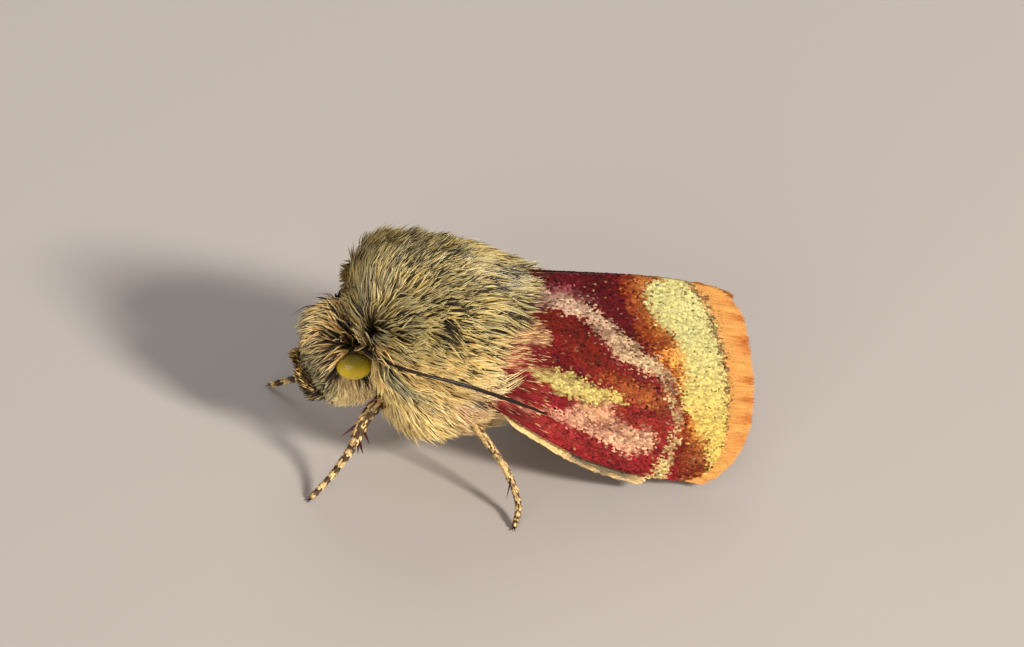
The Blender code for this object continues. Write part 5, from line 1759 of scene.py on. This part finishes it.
def on_tube(stops, side, share, around):
    """Points on the middle line of a tube, the way along it, the way out, and the tube's radius there."""
    mirror = np.array((1.0, side, 1.0))
    line = through(stops, share)
    ahead = through(stops, np.minimum(share + TUBE_NUDGE, 1.0))
    behind = through(stops, np.maximum(share - TUBE_NUDGE, 0.0))
    along = unit((ahead - behind)[:, :3] * mirror)
    level_side = unit(np.cross(along, np.array((0.0, 0.0, 1.0))))
    above = np.cross(level_side, along)
    out = level_side * np.cos(around)[:, None] + above * np.sin(around)[:, None]
    return line[:, :3] * mirror, along, out, line[:, 3]


def palp_hair(name, side):
    draw = np.random.default_rng(PALP_SEED)
    share = draw.uniform(0.0, 0.97, PALP_HAIRS)
    around = draw.uniform(0.0, 2 * np.pi, PALP_HAIRS)
    centre, along, out, radius = on_tube(PALP, side, share, around)
    length = draw.uniform(*PALP_LENGTHS, PALP_HAIRS) * (1.0 - 0.5 * share)
    steps = np.linspace(0.0, 1.0, STATIONS)
    lean = draw.uniform(*PALP_LEANS, PALP_HAIRS)
    start = centre + out * (radius * 0.7)[:, None]
    rise = lean[:, None] * steps[None] * (1.3 - 0.6 * steps[None])
    ways = along[:, None] * steps[None, :, None] + out[:, None] * rise[..., None]
    paths = start[:, None] + ways * length[:, None, None]
    outs = np.repeat(out[:, None], STATIONS, axis=1)
    pale_share = PALE_SHARES[0] + PALE_SHARES[1] * smooth_step(0.85, 0.97, share)
    pale = draw.uniform(0.0, 1.0, PALP_HAIRS) < pale_share
    main = mixed(PALP_DARK, CREAM, pale * 0.9) * draw.uniform(0.7, 1.2, (PALP_HAIRS, 1))
    tip = mixed(main, TAN, draw.uniform(0.0, 0.7, PALP_HAIRS) ** 3)
    widths = draw.uniform(*PALP_WIDTHS, PALP_HAIRS)
    patches = on_map(share, around / (2 * np.pi))
    hair_piece(name, "palp", HAIR, paths, outs, widths, main, tip, SHORT_ROOT_SHADE, patches)


for side_name, side in SIDES.items():
    palp_hair(f"palp_hair_{side_name}", side)

# %% [markdown]
# ## Legs
# A leg is a jointed tube: thigh, shin and a foot of five short joints with two claws. It is scaled like
# the wings, cream with dark bands. The shell is one ring of points after another along a smooth line, and
# the scales are laid on it in rings. The front shins carry the strong dark claws that this kind digs with.

# %% The legs' sizes
# Stops of the right legs from the hip over the knee to the claws, each with the leg's radius there.
FORELEG = [
    (-2.95, 0.70, 2.10, 0.20), (-3.35, 1.15, 2.20, 0.20), (-3.73, 1.50, 2.20, 0.16),
    (-4.03, 1.56, 1.75, 0.15), (-4.27, 1.68, 1.16, 0.10), (-4.70, 1.87, 0.58, 0.075),
    (-5.31, 2.20, 0.07, 0.062),
]
MIDLEG = [
    (-2.05, 0.80, 1.75, 0.20), (-1.90, 1.35, 1.60, 0.17), (-1.45, 2.05, 1.90, 0.12),
    (-1.00, 2.50, 1.45, 0.088), (-0.66, 2.92, 0.98, 0.08), (-0.47, 3.38, 0.42, 0.068),
    (-0.62, 3.78, 0.07, 0.058),
]
HINDLEG = [
    (-1.25, 0.42, 1.60, 0.16), (-0.90, 0.66, 1.40, 0.14), (-0.20, 0.80, 1.20, 0.12),
    (0.50, 0.86, 0.86, 0.10), (1.60, 0.95, 0.45, 0.10), (2.40, 0.90, 0.28, 0.07),
    (3.20, 0.88, 0.07, 0.058),
]
RIGHT_FOREFOOT_SHIFT = np.array((-0.28, 0.33, 0.0))
FOOT_JOINTS = 5
LEGS = {  # stops, the shares where the knee and the foot begin, and how much of each part is dark
    "foreleg": (FORELEG, 0.36, 0.64, (0.45, 0.50, 0.50)),
    "midleg": (MIDLEG, 0.34, 0.76, (0.44, 0.36, 0.45)),
    "hindleg": (HINDLEG, 0.45, 0.66, (0.30, 0.25, 0.45)),
}
SPURS = {  # the share of the leg where each grows and how it reaches out on the right side, in mm
    "foreleg": [(0.50, (-0.50, 0.08, -0.14)), (0.54, (-0.26, 0.10, -0.34)), (0.57, (-0.02, 0.20, -0.32)),
                (0.53, (0.20, 0.18, -0.22)), (0.60, (0.14, 0.20, -0.22))],
    "midleg": [(0.70, (0.22, 0.10, -0.26)), (0.70, (-0.12, 0.16, -0.28))],
    "hindleg": [(0.52, (0.42, 0.22, -0.06)), (0.52, (0.42, -0.20, -0.04)), (0.64, (0.34, 0.14, -0.04)),
                (0.64, (0.34, -0.14, -0.02))],
}
LEG_SIDES = 14
LEG_STATIONS = 96
LEG_CREAM = srgb(232, 194, 134)
LEG_DARK = srgb(50, 38, 30)
LEG_SEEDS = {"left": 121, "right": 126}
LEG_SHELL, LEG_ROOTS = 0.86, 0.85  # the shell's and the scales' distance from the middle, of the leg's radius
# The shell under the scales takes their colours darkened by this share, a painted shade.
LEG_SHADE = 0.8
LEG_SCALE = (0.10, 0.055)
LEG_ROW = 0.05
LEG_PLACE = 0.045  # the room of one scale in its row
LEG_SCALE_FLOOR = 0.015  # the least height of a scale's root

# %% A leg's line, joints and colours
def leg_stops(kind, side):
    """A leg's stops. The right foreleg is the one that reaches further forward."""
    stops = [list(s) for s in LEGS[kind][0]]
    if kind == "foreleg" and side > 0:
        for k, stop in enumerate(stops):
            stop[:3] = np.array(stop[:3]) + RIGHT_FOREFOOT_SHIFT * (k / (len(stops) - 1)) ** 2
    return stops


def joint_places(kind):
    _, knee, foot, _ = LEGS[kind]
    return [knee, foot] + [foot + (1.0 - foot) * k / FOOT_JOINTS for k in range(1, FOOT_JOINTS)]


def leg_swell(kind, share):
    """The tube's radius at a joint, as a share of the plain one: pinched at it and swollen before it."""
    swell = np.ones(len(share))
    for place in joint_places(kind):
        swell -= 0.30 * np.exp(-(((share - place) / 0.006) ** 2))
        swell += 0.14 * np.exp(-(((share - place + 0.018) / 0.012) ** 2))
    return swell


def leg_colour(kind, share, around, seed):
    """Cream with dark bands on the foot and dark patches above."""
    _, knee, foot, (dark_thigh, dark_shin, dark_foot) = LEGS[kind]
    place = np.stack([share * 5.0, np.cos(around) * 0.3, np.sin(around) * 0.3], axis=1)
    patch = noise(place, 0.11, seed) * 0.5 + 0.5
    part = np.where(share < knee, dark_thigh, dark_shin)
    above = smooth_step(0.15, -0.1, patch - part)
    joint = (share - foot) / (1.0 - foot) * FOOT_JOINTS
    band = smooth_step(dark_foot + 0.1, dark_foot - 0.1, joint % 1.0 + 0.25 * (patch - 0.5))
    return mixed(LEG_CREAM, LEG_DARK, np.where(share >= foot, band, above) * 0.93)


# %% Leg shells and their scales
def leg_shell(name, kind, side, seed):
    """The leg's tube, drawn out to a point at each end and flat where it stands on the floor."""
    stops = leg_stops(kind, side)
    share = np.repeat(np.linspace(0.0, 1.0, LEG_STATIONS), LEG_SIDES)
    around = np.tile(np.linspace(0.0, 2 * np.pi, LEG_SIDES, endpoint=False), LEG_STATIONS)
    centre, _, out, radius = on_tube(stops, side, share, around)
    points = centre + out * (radius * leg_swell(kind, share) * LEG_SHELL)[:, None]
    ends, along, _, _ = on_tube(stops, side, np.array([0.0, 1.0]), np.zeros(2))
    points = np.vstack([points, ends + along * np.array([[-0.05], [0.03]])])
    points[:, 2] = np.maximum(points[:, 2], 0.0)
    share, around = np.append(share, (0.0, 1.0)), np.append(around, (0.0, 0.0))
    colour = leg_colour(kind, share, around, seed) * LEG_SHADE
    faces = tube_faces(LEG_STATIONS, LEG_SIDES)
    return mesh_piece(name, points, faces, SHELL, "leg", colour, on_map(share, around / (2 * np.pi)), True)


def leg_rows(stops, draw):
    """Places of scales in staggered rings along a leg: the share of its length and the turn round it."""
    line = through(stops, np.linspace(0.0, 1.0, 200))
    length = np.linalg.norm(np.diff(line[:, :3], axis=0), axis=1).sum()
    rows = int(length / LEG_ROW)
    share, around = [], []
    for row in range(rows):
        place = (row + 0.5) / rows * 0.975
        radius = float(through(stops, np.array(place))[3])
        count = max(int(2 * np.pi * radius / LEG_PLACE), 8)
        share.append(place + draw.uniform(-0.4, 0.4, count) / rows)
        around.append((np.arange(count) + 0.5 * (row % 2)) / count * 2 * np.pi + draw.normal(0, 0.1, count))
    return np.clip(np.concatenate(share), 0.0, 0.985), np.concatenate(around) % (2 * np.pi)


def leg_scales(name, kind, side, seed):
    """The leg's scales, none below the floor and short where they come near it."""
    draw = np.random.default_rng(seed)
    stops = leg_stops(kind, side)
    share, around = leg_rows(stops, draw)
    centre, along, out, radius = on_tube(stops, side, share, around)
    roots = centre + out * (radius * leg_swell(kind, share) * LEG_ROOTS)[:, None]
    keep = roots[:, 2] > LEG_SCALE_FLOOR
    roots, along, out, share, around = roots[keep], along[keep], out[keep], share[keep], around[keep]
    count = len(roots)
    tilt = draw.uniform(0.05, 0.35, count)
    lengths = LEG_SCALE[0] * draw.uniform(0.8, 1.3, count)
    near = roots[:, 2] + along[:, 2] * lengths < 0.02
    lengths = np.where(near, lengths * 0.5, lengths)
    colour = leg_colour(kind, share + draw.normal(0, 0.006, count), around, seed)
    colour *= draw.uniform(0.8, 1.2, (count, 1))
    widths = LEG_SCALE[1] * draw.uniform(0.8, 1.2, count)
    patches = on_map(share, around / (2 * np.pi))
    scale_piece(name, "leg", roots, along, out, lengths, widths, tilt, colour, patches)


# %% Spurs and claws, and all six legs
THORN_SIDES, THORN_STATIONS = 8, 7
THORN_TAPER = 0.93
SPUR_BEND = np.array((0.0, 0.0, -0.16))
SPUR_RADIUS = {"foreleg": 0.062, "midleg": 0.026, "hindleg": 0.026}
CLAW_SPREAD = 0.45  # from straight ahead, in radians
CLAW_LENGTH = 0.15
CLAW_HEIGHT = 0.055
CLAW_RADIUS = 0.022
CLAW_BEND = np.array((0.0, 0.0, -0.03))


def thorn(root, reach, bend, radius):
    """A curved cone from its root, closed at both ends: points and faces."""
    t = np.linspace(0.0, 1.0, THORN_STATIONS)[:, None]
    line = root + reach * t + bend * t**2
    way = unit(np.gradient(line, axis=0))
    flank = unit(np.cross(way, (0.3, 0.2, 1.0)))
    above = np.cross(flank, way)
    turns = np.linspace(0.0, 2 * np.pi, THORN_SIDES, endpoint=False)[None, :, None]
    size = radius * (1.0 - THORN_TAPER * t**1.5)
    ring = line[:, None] + size[..., None] * (flank[:, None] * np.cos(turns) + above[:, None] * np.sin(turns))
    points = np.vstack([ring.reshape(-1, 3), root, line[-1] + way[-1] * radius * 0.3])
    points[:, 2] = np.maximum(points[:, 2], 0.0)
    return points, tube_faces(THORN_STATIONS, THORN_SIDES)


def leg_thorns(name, kind, side):
    """A leg's spurs and the two claws of its foot, as one piece."""
    stops = leg_stops(kind, side)
    thorns = []
    for share, reach in SPURS[kind]:
        centre, _, _, _ = on_tube(stops, side, np.array([share]), np.zeros(1))
        thorns.append(thorn(centre[0], np.array(reach) * (1.0, side, 1.0), SPUR_BEND, SPUR_RADIUS[kind]))
    end, along, _, _ = on_tube(stops, side, np.array([1.0]), np.zeros(1))
    ahead = unit(along[0] * (1.0, 1.0, 0.0))
    root = end[0] * (1, 1, 0) + (0, 0, CLAW_HEIGHT)
    for swing in (-CLAW_SPREAD, CLAW_SPREAD):
        way = ahead * math.cos(swing) + np.array((-ahead[1], ahead[0], 0.0)) * math.sin(swing)
        thorns.append(thorn(root, way * CLAW_LENGTH, CLAW_BEND, CLAW_RADIUS))
    mesh_piece(name, *joined(thorns), CLAW, "leg", smooth=True)


for side_name, side in SIDES.items():
    for number, kind in enumerate(LEGS):
        seed = LEG_SEEDS[side_name] + number
        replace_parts(leg_shell(f"{kind}_shell_{side_name}", kind, side, seed), f"{kind}_{side_name}")
        leg_scales(f"{kind}_scales_{side_name}", kind, side, seed)
        leg_thorns(f"{kind}_claws_{side_name}", kind, side)
